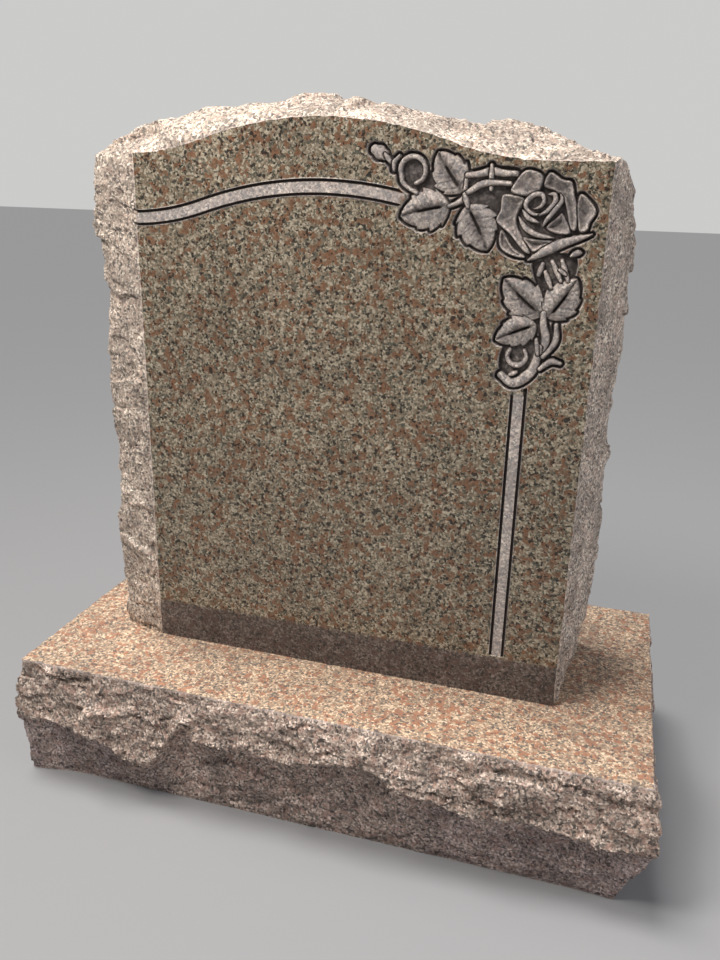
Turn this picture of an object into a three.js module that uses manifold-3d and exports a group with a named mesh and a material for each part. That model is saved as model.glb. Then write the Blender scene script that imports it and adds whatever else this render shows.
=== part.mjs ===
// An upright granite headstone, made of two stones.
// The tablet has a flat polished face with a serpentine top edge. Its top and its two sides are
// pitched, which means that they are broken with a chisel from the face's edge and left rough.
// A border of two cut lines runs along the top and down the right of the face, and a carved rose
// spray fills the corner between them. The base is a block with a flat top and four pitched sides.
// Lengths are in millimetres. +X is the viewer's right, +Y is the back and +Z is up, and the
// origin is on the underside of the base, in its middle.
import * as THREE from "three";
import { mergeVertices } from "three/addons/utils/BufferGeometryUtils.js";
import Module from "manifold-3d";

// Base
const BASE_WIDTH = 711; // flat top, from edge to edge
const BASE_DEPTH = 366;
const BASE_HEIGHT = 152;
const BASE_ROCK = 16; // how far the rough sides stand out past the top's edge
const BASE_UNDERCUT = 10; // how far the foot of the rough sides falls back behind that edge

// Tablet
const TABLET_THICKNESS = 152;
const FACE_WIDTH = 480; // polished face, between its left and right edges
const SHOULDER_HEIGHT = 562; // from the tablet's foot to the flat shoulders of the face
const CROWN_RISE = 36; // the serpentine curve, above the shoulders
const ARCH_HALF_WIDTH = 215; // from the crown to the end of the curve
const ARCH_OFFSET = -34; // the crown stands left of the face's middle
const FACE_OFFSET = 10.5; // the face's middle, right of the base's middle
const LEFT_ROCK = 72; // how far the rough sides and top stand out past the face
const RIGHT_ROCK = 25;
const TOP_ROCK = 24;

// Border lines
const BORDER_DROP = 64; // middle of the border, below the face's top edge
const BORDER_INSET = 66.5; // middle of the upright border, from the face's right edge
const BORDER_STRIP = 10; // frosted strip between the two cut lines
const BORDER_LINE = 3.2; // each cut line's width
const BORDER_LINE_DEPTH = 3;
const BORDER_STRIP_DEPTH = 0.7;
const FOOT_MARGIN = 50; // frosted band along the foot of the face, where the border ends

// Carving
const GROUND_DEPTH = 5.5; // floor of the carving, behind the face
const OUTLINE = 3.2; // clear groove left around each carved form
const SPRAY_LENGTH = 183; // from the face's right edge to where the top border runs in
const SPRAY_DROP = 208; // from the shoulder to where the upright border runs in

// How rough the broken stone is, and how closely it is drawn
const ROCK_GRAIN = 3.2;
const COLUMN_STEP = 23;

const CUT_CLEAR = 2; // cutters start this far in front of the face
const ROOT = 2; // carved forms are rooted this far below the ground
const WELD = 0.005; // points nearer together than this are one

// Depths on the carved forms, as shares of the ground's depth
const CREST = 0.18; // their highest parts
const SHOULDER = 0.48; // where their sides turn down
const RIB = 0.62; // a leaf's cut midrib
const HOLLOW = 0.55; // the hollow of a petal

const wasm = await Module();
wasm.setup();

const lerp = (a, b, t) => a + (b - a) * t;
const clamp = (v, low, high) => Math.min(high, Math.max(low, v));
const FRONT_Y = -TABLET_THICKNESS / 2;
const FACE_LEFT = FACE_OFFSET - FACE_WIDTH / 2;

// A fixed random number from 0 to 1 for a grid point
function scatter(i, j, seed) {
  let h = Math.imul(i, 374761393) + Math.imul(j, 668265263) + Math.imul(seed, 974634777);
  h = Math.imul(h ^ (h >>> 13), 1274126177);
  return ((h ^ (h >>> 16)) >>> 0) / 4294967295;
}

const jitter = (i, j, seed) => 2 * scatter(i, j, seed) - 1;

// A value read along a short list of [place, value] keys
function keyed(keys, at) {
  const next = keys.findIndex(([place]) => place >= at);
  if (next === 0) return keys[0][1];
  if (next < 0) return keys[keys.length - 1][1];
  const [a, va] = keys[next - 1];
  const [b, vb] = keys[next];
  return lerp(va, vb, (at - a) / (b - a));
}

// Solids from rings of points

function newell(ring) {
  const n = new THREE.Vector3();
  ring.forEach((p, i) => {
    const q = ring[(i + 1) % ring.length];
    n.x += (p[1] - q[1]) * (p[2] + q[2]);
    n.y += (p[2] - q[2]) * (p[0] + q[0]);
    n.z += (p[0] - q[0]) * (p[1] + q[1]);
  });
  return n;
}

// Triangles that close a ring, as indices into it
function capOf(ring) {
  const n = newell(ring);
  const size = [Math.abs(n.x), Math.abs(n.y), Math.abs(n.z)];
  const drop = size.indexOf(Math.max(...size));
  const [u, v] = [0, 1, 2].filter((axis) => axis !== drop);
  return THREE.ShapeUtils.triangulateShape(
    ring.map((p) => new THREE.Vector2(p[u], p[v])),
    [],
  );
}

// Signed area of a cap as seen along the ring's own turning direction
function turnsWith(ring, [a, b, c]) {
  const [pa, pb, pc] = [ring[a], ring[b], ring[c]].map((p) => new THREE.Vector3(...p));
  return pb.sub(pa).cross(pc.sub(pa)).dot(newell(ring)) > 0;
}

// One closed solid through rings that all have the same number of points
function loft(rings) {
  const count = rings[0].length;
  const points = rings.flat();
  const faces = [];
  for (let r = 0; r < rings.length - 1; r++)
    for (let i = 0; i < count; i++) {
      const j = (i + 1) % count;
      const [a, b] = [r * count + i, r * count + j];
      const [c, d] = [a + count, b + count];
      faces.push([a, b, d], [a, d, c]);
    }
  const last = rings.length - 1;
  for (const [r, outward] of [
    [0, false],
    [last, true],
  ])
    for (const face of capOf(rings[r])) {
      const same = turnsWith(rings[r], face) === outward;
      const [a, b, c] = face.map((i) => i + r * count);
      faces.push(same ? [a, b, c] : [a, c, b]);
    }
  return solidOf(points, faces);
}

function solidOf(points, faces) {
  const volume = faces.reduce((sum, [a, b, c]) => {
    const [p, q, s] = [points[a], points[b], points[c]].map((v) => new THREE.Vector3(...v));
    return sum + p.dot(q.cross(s));
  }, 0);
  const facing = volume < 0 ? faces.map(([a, b, c]) => [a, c, b]) : faces;
  return new wasm.Manifold(
    new wasm.Mesh({
      numProp: 3,
      vertProperties: new Float32Array(points.flat()),
      triVerts: new Uint32Array(facing.flat()),
    }),
  );
}

const joined = (solids) => solids.reduce((sum, next) => sum.add(next));

// Base: rings from the foot to the top

// The break line along each side, as [share of the side's length, share of the height below the
// top]. Above it the broken stone leans out and catches the light, and below it it falls back.
const BREAK_LINES = {
  front: [
    [0, 0.47],
    [0.06, 0.46],
    [0.11, 0.49],
    [0.15, 0.52],
    [0.19, 0.66],
    [0.21, 0.76],
    [0.245, 0.74],
    [0.28, 0.32],
    [0.34, 0.36],
    [0.47, 0.37],
    [0.515, 0.32],
    [0.56, 0.26],
    [0.6, 0.28],
    [0.65, 0.38],
    [0.71, 0.42],
    [0.745, 0.47],
    [0.81, 0.43],
    [0.86, 0.41],
    [0.89, 0.46],
    [0.93, 0.48],
    [0.97, 0.47],
    [1, 0.43],
  ],
  right: [
    [0, 0.43],
    [0.3, 0.5],
    [0.42, 0.38],
    [0.75, 0.46],
    [1, 0.55],
  ],
  back: [
    [0, 0.55],
    [0.2, 0.42],
    [0.35, 0.5],
    [0.55, 0.68],
    [0.6, 0.36],
    [0.85, 0.45],
    [1, 0.5],
  ],
  left: [
    [0, 0.5],
    [0.25, 0.4],
    [0.5, 0.6],
    [0.8, 0.6],
    [1, 0.47],
  ],
};

// How full the rock is along each side, as a share of BASE_ROCK, how much of the fall below the
// break line comes at once, and each side's foot, as a share of BASE_UNDERCUT
const FULLNESS = {
  front: {
    rock: [[0, 0.6], [0.08, 0.85], [0.2, 1], [0.3, 0.7], [0.55, 0.85], [1, 0.8]],
    step: [[0, 0.3], [0.2, 0.3], [0.3, 0.5], [0.8, 0.5], [0.92, 0.3], [1, 0.1]],
    foot: [[0, -0.2], [0.1, 0.4], [0.8, 0.8], [1, 0.9]],
  },
  right: {
    rock: [[0, 0.8], [0.1, 0.45], [0.3, 0.3], [0.7, 0.3], [1, 0.45]],
    step: [[0, 0.1], [0.2, 0.5]],
    foot: [[0, 1.9], [0.3, 1], [1, 0.7]],
  },
  back: {
    rock: [[0, 0.8], [0.5, 1], [1, 0.85]],
    step: [[0, 0.5]],
    foot: [[0, 0.7], [1, 0.9]],
  },
  left: {
    rock: [[0, 0.7], [0.6, 0.8], [1, 0.6]],
    step: [[0, 0.5], [0.8, 0.5], [1, 0.3]],
    foot: [[0, 0.9], [1, -0.2]],
  },
};

// Rows of the rough side. part goes from 0 at the top's edge to 1 at the break line and 2 at the
// foot, and out is the share of the rock, or of what is left of the fall after the step.
const BASE_ROWS = [
  { part: 2, out: 1, rough: 0 },
  { part: 1.55, out: 0.44, rough: 1 },
  { part: 1.14, out: 0, rough: 0.8 },
  { part: 1, out: 1, rough: 0.15 },
  { part: 0.68, out: 0.82, rough: 0.8 },
  { part: 0.36, out: 0.56, rough: 0.9 },
  { part: 0.12, out: 0.26, rough: 0.6 },
  { part: 0, out: 0, rough: 0 },
];

function baseSides() {
  const [x, y] = [BASE_WIDTH / 2, BASE_DEPTH / 2];
  return [
    { name: "front", from: [-x, -y], to: [x, -y], out: [0, -1] },
    { name: "right", from: [x, -y], to: [x, y], out: [1, 0] },
    { name: "back", from: [x, y], to: [-x, y], out: [0, 1] },
    { name: "left", from: [-x, y], to: [-x, -y], out: [-1, 0] },
  ];
}

// The rough side's distance past the top's edge, and its height, at one column and row
function baseRock(name, share, row, i, r) {
  const drop = keyed(BREAK_LINES[name], share) * BASE_HEIGHT;
  const rock = keyed(FULLNESS[name].rock, share) * BASE_ROCK;
  const step = keyed(FULLNESS[name].step, share);
  const foot = keyed(FULLNESS[name].foot, share) * BASE_UNDERCUT;
  const below = row.part > 1;
  const depth = below ? lerp(drop, BASE_HEIGHT, row.part - 1) : drop * row.part;
  const out = below ? lerp(rock, -foot, lerp(step, 1, row.out)) : rock * row.out;
  const rough = row.rough * ROCK_GRAIN * jitter(i, r, name.length);
  const shift = row.part > 0 && row.part < 2 ? 0.8 * row.rough * ROCK_GRAIN * jitter(i, r, 17) : 0;
  return { out: Math.min(out + rough, BASE_ROCK), z: BASE_HEIGHT - depth + shift };
}

function baseRing(row, r) {
  const ring = [];
  const sides = baseSides();
  sides.forEach(({ name, from, to, out }, side) => {
    const before = sides[(side + 3) % 4];
    const length = Math.hypot(to[0] - from[0], to[1] - from[1]);
    const columns = Math.max(3, Math.round(length / COLUMN_STEP));
    for (let i = 0; i < columns; i++) {
      const share = i / columns;
      const here = baseRock(name, share, row, i, r);
      const corner = i === 0 ? baseRock(before.name, 1, row, i, r).out : 0;
      ring.push([
        lerp(from[0], to[0], share) + out[0] * here.out + before.out[0] * corner,
        lerp(from[1], to[1], share) + out[1] * here.out + before.out[1] * corner,
        here.z,
      ]);
    }
  });
  return ring;
}

const makeBase = () => loft(BASE_ROWS.map(baseRing));

// Tablet: rings from the face to the back

// Height of the face's top edge above the tablet's foot, x from the face's left edge. The curve
// is a round crown that turns, at an inflection, into a hollow run to the flat shoulder.
function topEdge(x) {
  const INFLECTION = 0.6;
  const away = Math.abs(x - FACE_WIDTH / 2 - ARCH_OFFSET) / ARCH_HALF_WIDTH;
  if (away >= 1) return SHOULDER_HEIGHT;
  const fall =
    away < INFLECTION ? away ** 2 / INFLECTION : 1 - (1 - away) ** 2 / (1 - INFLECTION);
  return SHOULDER_HEIGHT + CROWN_RISE * (1 - fall);
}

// How far the crest of the rough edge stands out, as [share along it, share of its rock value].
// The left and right lists run up from the foot, and the top list runs from left to right.
const CRESTS = {
  left: [
    [0, 0.95],
    [0.1, 0.96],
    [0.3, 1],
    [0.42, 0.88],
    [0.55, 0.95],
    [0.64, 0.92],
    [0.88, 1],
    [1, 0.94],
  ],
  right: [
    [0, 0.4],
    [0.05, 0.8],
    [0.12, 1],
    [0.5, 0.96],
    [0.8, 1.06],
    [0.9, 1],
    [0.96, 0.75],
    [1, 0.3],
  ],
  top: [
    [0, 0.2],
    [0.07, 0.85],
    [0.12, 1],
    [0.2, 0.95],
    [0.28, 0.7],
    [0.36, 0.72],
    [0.48, 0.95],
    [0.54, 1.05],
    [0.6, 0.85],
    [0.7, 1],
    [0.83, 1.4],
    [0.87, 1.3],
    [0.92, 0.75],
    [0.97, 0.35],
    [1, 0.1],
  ],
};

// Rows of the rough edge through the thickness, for each side: how deep they lie and how far out
// they stand, both as shares
const TABLET_ROWS = [
  { depth: 0, left: 0, right: 0, top: 0, rough: 0 },
  { depth: 0.05, left: 0.45, right: 0.1, top: 0.3, rough: 0.5 },
  { depth: 0.13, left: 0.86, right: 0.26, top: 0.62, rough: 0.8 },
  { depth: 0.3, left: 1, right: 0.5, top: 1, rough: 1 },
  { depth: 0.52, left: 1, right: 0.8, top: 0.92, rough: 1 },
  { depth: 0.76, left: 0.95, right: 1, top: 0.78, rough: 1 },
  { depth: 0.92, left: 0.7, right: 0.95, top: 0.45, rough: 0.7 },
  { depth: 1, left: 0.4, right: 0.7, top: 0.1, rough: 0 },
];

// Points of the tablet's outline: up the left edge, along the top and down the right edge
function outline() {
  const rise = Math.round(SHOULDER_HEIGHT / COLUMN_STEP);
  const across = Math.round(FACE_WIDTH / COLUMN_STEP);
  const list = [];
  for (let i = 0; i < rise; i++) list.push({ side: "left", share: i / rise });
  for (let i = 0; i <= across; i++) list.push({ side: "top", share: i / across });
  for (let i = rise - 1; i >= 0; i--) list.push({ side: "right", share: i / rise });
  return list;
}

function tabletPoint({ side, share }, row, i, r) {
  const crest = (name, at) => keyed(CRESTS[name], at);
  const uneven = row.rough * ROCK_GRAIN;
  const left = LEFT_ROCK * row.left;
  const right = RIGHT_ROCK * row.right;
  let [x, z] = [0, 0];
  if (side === "top") {
    const from = -left * crest("left", 1);
    const to = FACE_WIDTH + right * crest("right", 1);
    const along = share * FACE_WIDTH;
    x = lerp(from, to, share);
    z = topEdge(along) + TOP_ROCK * row.top * crest("top", share) + uneven * jitter(i, r, 5);
  } else {
    z = share * SHOULDER_HEIGHT;
    const out = side === "left" ? -left * crest("left", share) : right * crest("right", share);
    const edge = side === "left" ? 0 : FACE_WIDTH;
    const nick = row.depth === 0 && share > 0 ? 0.5 * jitter(i, r, 3) : 0;
    x = edge + out + nick + uneven * jitter(i, r, 7);
    if (share > 0) z += 1.5 * uneven * jitter(i, r, 11);
  }
  const deep = row.rough * jitter(i, r, 13) * ROCK_GRAIN;
  return [FACE_LEFT + x, FRONT_Y + row.depth * TABLET_THICKNESS + deep, BASE_HEIGHT + z];
}

function makeBlank() {
  const columns = outline();
  return loft(TABLET_ROWS.map((row, r) => columns.map((column, i) => tabletPoint(column, row, i, r))));
}

// Carved forms. Their points are [inset, drop]: how far left of the face's right edge and how far
// below its shoulder they lie. In a section, level is the distance in front of the face, so it is
// negative in the stone.

const onFace = ([inset, drop]) => [FACE_WIDTH - inset, SHOULDER_HEIGHT - drop];
const place = ([x, z], level) => [FACE_LEFT + x, FRONT_Y - level, BASE_HEIGHT + z];

// A level in the carving, as a share of the ground's depth
const down = (share) => -share * GROUND_DEPTH;

// Points along a smooth curve through a few given ones, with the sideways direction at each
function along(points, steps) {
  const curve = new THREE.CatmullRomCurve3(
    points.map(([x, z]) => new THREE.Vector3(x, z, 0)),
    false,
    "centripetal",
  );
  return Array.from({ length: steps + 1 }, (_, i) => {
    const p = curve.getPoint(i / steps);
    const t = curve.getTangent(i / steps);
    return { at: [p.x, p.y], t: [t.x, t.y], side: [-t.y, t.x], share: i / steps };
  });
}

// A solid with one section at each station of a path. section gives [sideways, level] pairs.
function swept(stations, section) {
  return loft(
    stations.map((s) =>
      section(s.share).map(([side, level]) =>
        place([s.at[0] + s.side[0] * side, s.at[1] + s.side[1] * side], level),
      ),
    ),
  );
}

// Stations with the two ends moved out, for the groove around a form
function stretched(stations, by) {
  const list = stations.map((s) => ({ ...s }));
  for (const [end, sign] of [
    [list[0], -1],
    [list[list.length - 1], 1],
  ])
    end.at = [end.at[0] + sign * by * end.t[0], end.at[1] + sign * by * end.t[1]];
  return list;
}

const ROOTED = -GROUND_DEPTH - ROOT;
const pocket = (half) => [
  [-half + 0.6, -GROUND_DEPTH],
  [-half, CUT_CLEAR],
  [half, CUT_CLEAR],
  [half - 0.6, -GROUND_DEPTH],
];

// A stem, tendril or rolled petal edge: a round ribbon, thinner at its ends
function ribbon({ through, width, steps = 6 }) {
  const stations = along(through.map(onFace), steps);
  const half = (t) => (width / 2) * (0.62 + 0.38 * Math.sin(Math.PI * clamp(t, 0.08, 0.92)));
  const form = swept(stations, (t) => {
    const h = half(t);
    return [
      [-h, ROOTED],
      [-h, down(SHOULDER)],
      [-0.45 * h, down(CREST)],
      [0.45 * h, down(CREST)],
      [h, down(SHOULDER)],
      [h, ROOTED],
    ];
  });
  const groove = swept(stretched(stations, OUTLINE), (t) => pocket(half(t) + OUTLINE));
  return { form, groove };
}

// A leaf with a toothed edge and a cut midrib
function leaf({ base, tip, width, teeth = 4 }) {
  const steps = 2 * teeth + 1;
  const stations = along([base, tip].map(onFace), steps);
  const half = (t) => {
    const tooth = 1 + 0.07 * (Math.round(t * steps) % 2 ? 1 : -1);
    return (width / 2) * Math.max(0.05, Math.sin(Math.PI * t ** 0.8) ** 0.75 * tooth);
  };
  const form = swept(stations, (t) => {
    const h = half(t);
    const rib = t > 0.2 && t < 0.8 ? RIB : SHOULDER;
    return [
      [-h, ROOTED],
      [-h, down(SHOULDER)],
      [-0.55 * h, down(CREST)],
      [-0.06 * h, down(1.6 * CREST)],
      [0, down(rib)],
      [0.06 * h, down(1.6 * CREST)],
      [0.55 * h, down(CREST)],
      [h, down(SHOULDER)],
      [h, ROOTED],
    ];
  });
  const groove = swept(stretched(stations, OUTLINE), (t) => pocket(half(t) + OUTLINE));
  return { form, groove };
}

// A closed smooth outline through a few points, as points on the face
function closedOutline(points, count) {
  const curve = new THREE.CatmullRomCurve3(
    points.map(onFace).map(([x, z]) => new THREE.Vector3(x, z, 0)),
    true,
    "centripetal",
  );
  return Array.from({ length: count }, (_, i) => {
    const p = curve.getPoint(i / count);
    return [p.x, p.y];
  });
}

// The outline moved outwards by a distance
function grown(ring, by) {
  const area = ring.reduce((sum, [x, z], i) => {
    const [u, w] = ring[(i + 1) % ring.length];
    return sum + x * w - u * z;
  }, 0);
  const sign = area > 0 ? 1 : -1;
  return ring.map(([x, z], i) => {
    const [px, pz] = ring[(i + ring.length - 1) % ring.length];
    const [nx, nz] = ring[(i + 1) % ring.length];
    const [tx, tz] = [nx - px, nz - pz];
    const size = Math.hypot(tx, tz);
    return [x + (sign * by * tz) / size, z - (sign * by * tx) / size];
  });
}

// A petal: a raised rim round a hollow
function petal({ round, rim = CREST, hollow = HOLLOW, count = 14 }) {
  const edge = closedOutline(round, count);
  const middle = edge
    .reduce(([sx, sz], [x, z]) => [sx + x, sz + z], [0, 0])
    .map((sum) => sum / edge.length);
  const inner = edge.map(([x, z]) => [lerp(x, middle[0], 0.32), lerp(z, middle[1], 0.32)]);
  const form = loft([
    edge.map((p) => place(p, ROOTED)),
    edge.map((p) => place(p, down(rim))),
    inner.map((p) => place(p, down(hollow))),
  ]);
  const wide = grown(edge, OUTLINE);
  const groove = loft([
    wide.map((p) => place(p, -GROUND_DEPTH)),
    wide.map((p) => place(p, CUT_CLEAR)),
  ]);
  return { form, groove };
}

// A part of a ring, drawn as a ribbon. Angles turn anticlockwise from the viewer's right.
function curl({ centre, radius, from, to, width, tail = [], steps = 14 }) {
  const COUNT = 9;
  const through = Array.from({ length: COUNT }, (_, i) => {
    const angle = (lerp(from, to, i / (COUNT - 1)) * Math.PI) / 180;
    return [centre[0] - radius * Math.cos(angle), centre[1] - radius * Math.sin(angle)];
  });
  return ribbon({ through: [...through, ...tail], width, steps });
}

const LEAVES = [
  { base: [135, 29], tip: [160, -6], width: 33 },
  { base: [147, 42], tip: [194, 53], width: 34 },
  { base: [130, 41], tip: [108, 81], width: 34 },
  { base: [52, 139], tip: [90, 106], width: 33 },
  { base: [46, 141], tip: [22, 103], width: 29 },
  { base: [56, 148], tip: [94, 165], width: 27 },
];

const STEMS = [
  { through: [[220, -7], [210, -2]], width: 11 },
  { through: [[211, -3], [205, 4.5]], width: 5 },
  { through: [[197, -2], [202, 4], [202, 11]], width: 4.5 },
  { through: [[147, 42], [139, 38.5], [133, 33], [132, 18]], width: 5 },
  { through: [[131, 14], [120, 12.5], [109, 10], [98, 11.5], [86, 11.5]], width: 5 },
  { through: [[109, 6], [108.5, 26]], width: 4.5 },
  { through: [[133, 31], [125, 26], [117, 21.5], [108, 20], [91, 20.5]], width: 4.6 },
  { through: [[133, 31], [129, 42]], width: 5 },
  { through: [[58, 101], [55, 91]], width: 5 },
  { through: [[52, 98], [45.5, 112]], width: 5 },
  { through: [[46.5, 88], [37, 105.5]], width: 5 },
  { through: [[37.5, 87], [30.5, 105]], width: 5 },
  { through: [[39, 95.5], [33, 99.5]], width: 4 },
  { through: [[50, 137], [49, 148], [46, 158], [46.5, 168], [51, 179]], width: 8 },
  { through: [[51, 170], [55, 190], [64, 201], [75, 206], [86, 199]], width: 10, steps: 8 },
  { through: [[54.5, 162], [52, 176]], width: 4.6 },
  { through: [[37, 147], [36, 157], [38, 166], [47, 178]], width: 6 },
  { through: [[49, 190], [39, 182], [30, 183]], width: 6 },
  { through: [[77, 198], [71, 195]], width: 4.5 },
];

const CURLS = [
  {
    centre: [183.5, 10.5],
    radius: 12.2,
    from: -75,
    to: 205,
    width: 5,
    tail: [[193, 22], [187, 27], [179, 31]],
  },
  { centre: [72, 179], radius: 9.2, from: 140, to: 400, width: 5 },
];

const PETALS = [
  { round: [[89, 28], [87, 20], [77, 8.5], [62, 13], [64, 26], [72, 31]] },
  { round: [[60, 22], [58, 13], [54, 10], [44, 16], [35.5, 18], [32, 30], [28, 42], [28, 58], [33, 58], [38, 42], [42, 32], [50, 26]], count: 18 },
  { round: [[27, 28], [22, 30], [13, 39], [12, 45], [16, 52], [18, 59], [25, 60], [28, 46], [29, 36]] },
  { round: [[97, 31], [88, 30.5], [77, 34], [82, 47], [82, 56], [77, 66], [68, 81], [75, 79], [87, 66], [101, 54], [98, 44]], count: 18 },
  { round: [[97, 63], [93, 64], [84, 77], [72, 85], [80, 85.5], [92, 81], [97, 74]] },
  { round: [[55, 58], [45, 48], [42, 45], [38, 50], [33, 62], [45, 63]], rim: 0.25, hollow: 0.4 },
  { round: [[75, 68], [64, 69], [48, 70], [58, 77], [65, 80], [70, 75]], rim: 0.25 },
];

const ROSE_FOLDS = [
  { through: [[68, 42], [62, 40], [59, 34], [62, 29], [69, 30], [75, 36], [74, 42], [66, 47], [56, 44]], width: 4.6, steps: 10 },
  { through: [[56, 29], [50, 29], [49, 36], [55, 43], [63, 48]], width: 5, steps: 7 },
  { through: [[45, 28], [43, 34], [49, 43], [55, 51], [58, 57]], width: 4.6, steps: 7 },
  { through: [[78, 43], [72, 50], [62, 54]], width: 4.6 },
  { through: [[81, 49], [74, 59], [62, 65], [47, 67]], width: 5, steps: 7 },
  { through: [[69, 88], [54, 79], [38, 71], [13, 62.5]], width: 9, steps: 8 },
  { through: [[31, 83], [25, 79.5], [20, 79]], width: 5.5 },
];

// Ground between the forms, cut to the same depth
const GROUNDS = [
  [[133, 30], [130, 12], [86, 9], [97, 30], [104, 44], [128, 42]],
  [[60, 86], [28, 84], [30, 106], [52, 112], [60, 100]],
  [[82, 170], [58, 164], [50, 176], [62, 198], [76, 200], [86, 190]],
  [[180, 31], [168, 17], [160, 30], [155, 36], [170, 34]],
  [[84, 40], [50, 26], [40, 40], [32, 62], [48, 76], [74, 82], [88, 60]],
];

function carving() {
  const made = [
    ...LEAVES.map(leaf),
    ...[...STEMS, ...ROSE_FOLDS].map(ribbon),
    ...CURLS.map(curl),
    ...PETALS.map(petal),
  ];
  const grounds = GROUNDS.map((points) => {
    const ring = closedOutline(points, points.length * 2);
    return loft([ring.map((p) => place(p, -GROUND_DEPTH)), ring.map((p) => place(p, CUT_CLEAR))]);
  });
  return {
    grooves: joined([...made.map((m) => m.groove), ...grounds]),
    forms: joined(made.map((m) => m.form)),
  };
}

// Border: a frosted strip between two cut lines, along the top and down the right side

function borderCut(path, offset, width, depth) {
  const stations = path.map(({ at, side }) => ({
    at: [at[0] + side[0] * offset, at[1] + side[1] * offset],
    side,
    share: 0,
  }));
  const h = width / 2;
  return swept(stations, () => [
    [-h, -depth],
    [-h, CUT_CLEAR],
    [h, CUT_CLEAR],
    [h, -depth],
  ]);
}

function border() {
  const STEPS = 14;
  const runIn = FACE_WIDTH - SPRAY_LENGTH;
  const top = Array.from({ length: STEPS + 1 }, (_, i) => {
    const x = lerp(-CUT_CLEAR, runIn, i / STEPS);
    const [before, after] = [topEdge(x - 1), topEdge(x + 1)];
    const size = Math.hypot(2, after - before);
    return { at: [x, topEdge(x) - BORDER_DROP], side: [(before - after) / size, 2 / size] };
  });
  const upright = [FOOT_MARGIN, SHOULDER_HEIGHT - SPRAY_DROP].map((z) => ({
    at: [FACE_WIDTH - BORDER_INSET, z],
    side: [-1, 0],
  }));
  const line = (BORDER_STRIP + BORDER_LINE) / 2;
  return joined(
    [top, upright].flatMap((path) => [
      borderCut(path, 0, BORDER_STRIP + BORDER_LINE, BORDER_STRIP_DEPTH),
      borderCut(path, line, BORDER_LINE, BORDER_LINE_DEPTH),
      borderCut(path, -line, BORDER_LINE, BORDER_LINE_DEPTH),
    ]),
  );
}

function makeTablet() {
  const { grooves, forms } = carving();
  return makeBlank().subtract(border()).subtract(grooves).add(forms);
}

// Scene graph

// A solid's triangles, with near points merged and the slivers that this closes dropped
function geometryOf(solid) {
  const { vertProperties, triVerts } = solid.getMesh();
  const raw = new THREE.BufferGeometry();
  raw.setAttribute("position", new THREE.BufferAttribute(vertProperties, 3));
  raw.setIndex(new THREE.BufferAttribute(triVerts, 1));
  const geometry = mergeVertices(raw, WELD);
  const index = [...geometry.index.array];
  const faces = Array.from({ length: index.length / 3 }, (_, t) => index.slice(3 * t, 3 * t + 3));
  geometry.setIndex(faces.filter((face) => new Set(face).size === 3).flat());
  return geometry;
}

function meshOf(name, solid, material) {
  const geometry = geometryOf(solid);
  geometry.computeVertexNormals();
  const mesh = new THREE.Mesh(geometry, material);
  mesh.name = name;
  return mesh;
}

const polishedGranite = new THREE.MeshStandardMaterial({
  color: 0x8f7a6b,
  roughness: 0.25,
  metalness: 0,
});
const pitchedGranite = new THREE.MeshStandardMaterial({
  color: 0xb9a08f,
  roughness: 0.8,
  metalness: 0,
});

const headstone = new THREE.Group();
headstone.add(meshOf("base", makeBase(), pitchedGranite));
headstone.add(meshOf("tablet", makeTablet(), polishedGranite));

export default headstone;
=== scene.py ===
"""Looks for the upright headstone: pitched granite, a polished face, a cut border and a carved rose."""

import math

import bpy
import numpy as np
from mathutils import Matrix, Vector
from mathutils.bvhtree import BVHTree
from mathutils.geometry import delaunay_2d_cdt


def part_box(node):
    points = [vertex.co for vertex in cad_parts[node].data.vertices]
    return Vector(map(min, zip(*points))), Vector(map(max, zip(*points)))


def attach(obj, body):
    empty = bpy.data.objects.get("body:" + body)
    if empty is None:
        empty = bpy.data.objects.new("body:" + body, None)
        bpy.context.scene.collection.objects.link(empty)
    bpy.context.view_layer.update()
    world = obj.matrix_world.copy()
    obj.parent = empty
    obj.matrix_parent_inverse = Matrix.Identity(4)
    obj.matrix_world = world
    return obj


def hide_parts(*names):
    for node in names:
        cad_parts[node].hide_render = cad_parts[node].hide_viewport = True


bl_info = {
    "name": "Upright Headstone",
    "version": (1, 0, 0),
    "blender": (4, 5, 0),
    "location": "View3D > Sidebar > Headstone",
    "description": "Dresses a granite tablet and base with broken stone, carving and polish",
    "category": "Add Mesh",
}

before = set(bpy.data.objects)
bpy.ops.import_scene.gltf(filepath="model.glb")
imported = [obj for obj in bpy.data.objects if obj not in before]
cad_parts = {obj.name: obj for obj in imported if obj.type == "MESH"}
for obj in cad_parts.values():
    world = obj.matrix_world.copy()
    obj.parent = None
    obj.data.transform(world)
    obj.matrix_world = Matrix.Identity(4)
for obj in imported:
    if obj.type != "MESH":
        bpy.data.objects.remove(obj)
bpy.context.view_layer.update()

MM = 0.001
BASE_LOW, BASE_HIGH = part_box("base")
TABLET_LOW, TABLET_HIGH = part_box("tablet")
NUDGE = 0.05 * MM  # rays run this far inside a flat face rather than along it


# Settings


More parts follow.
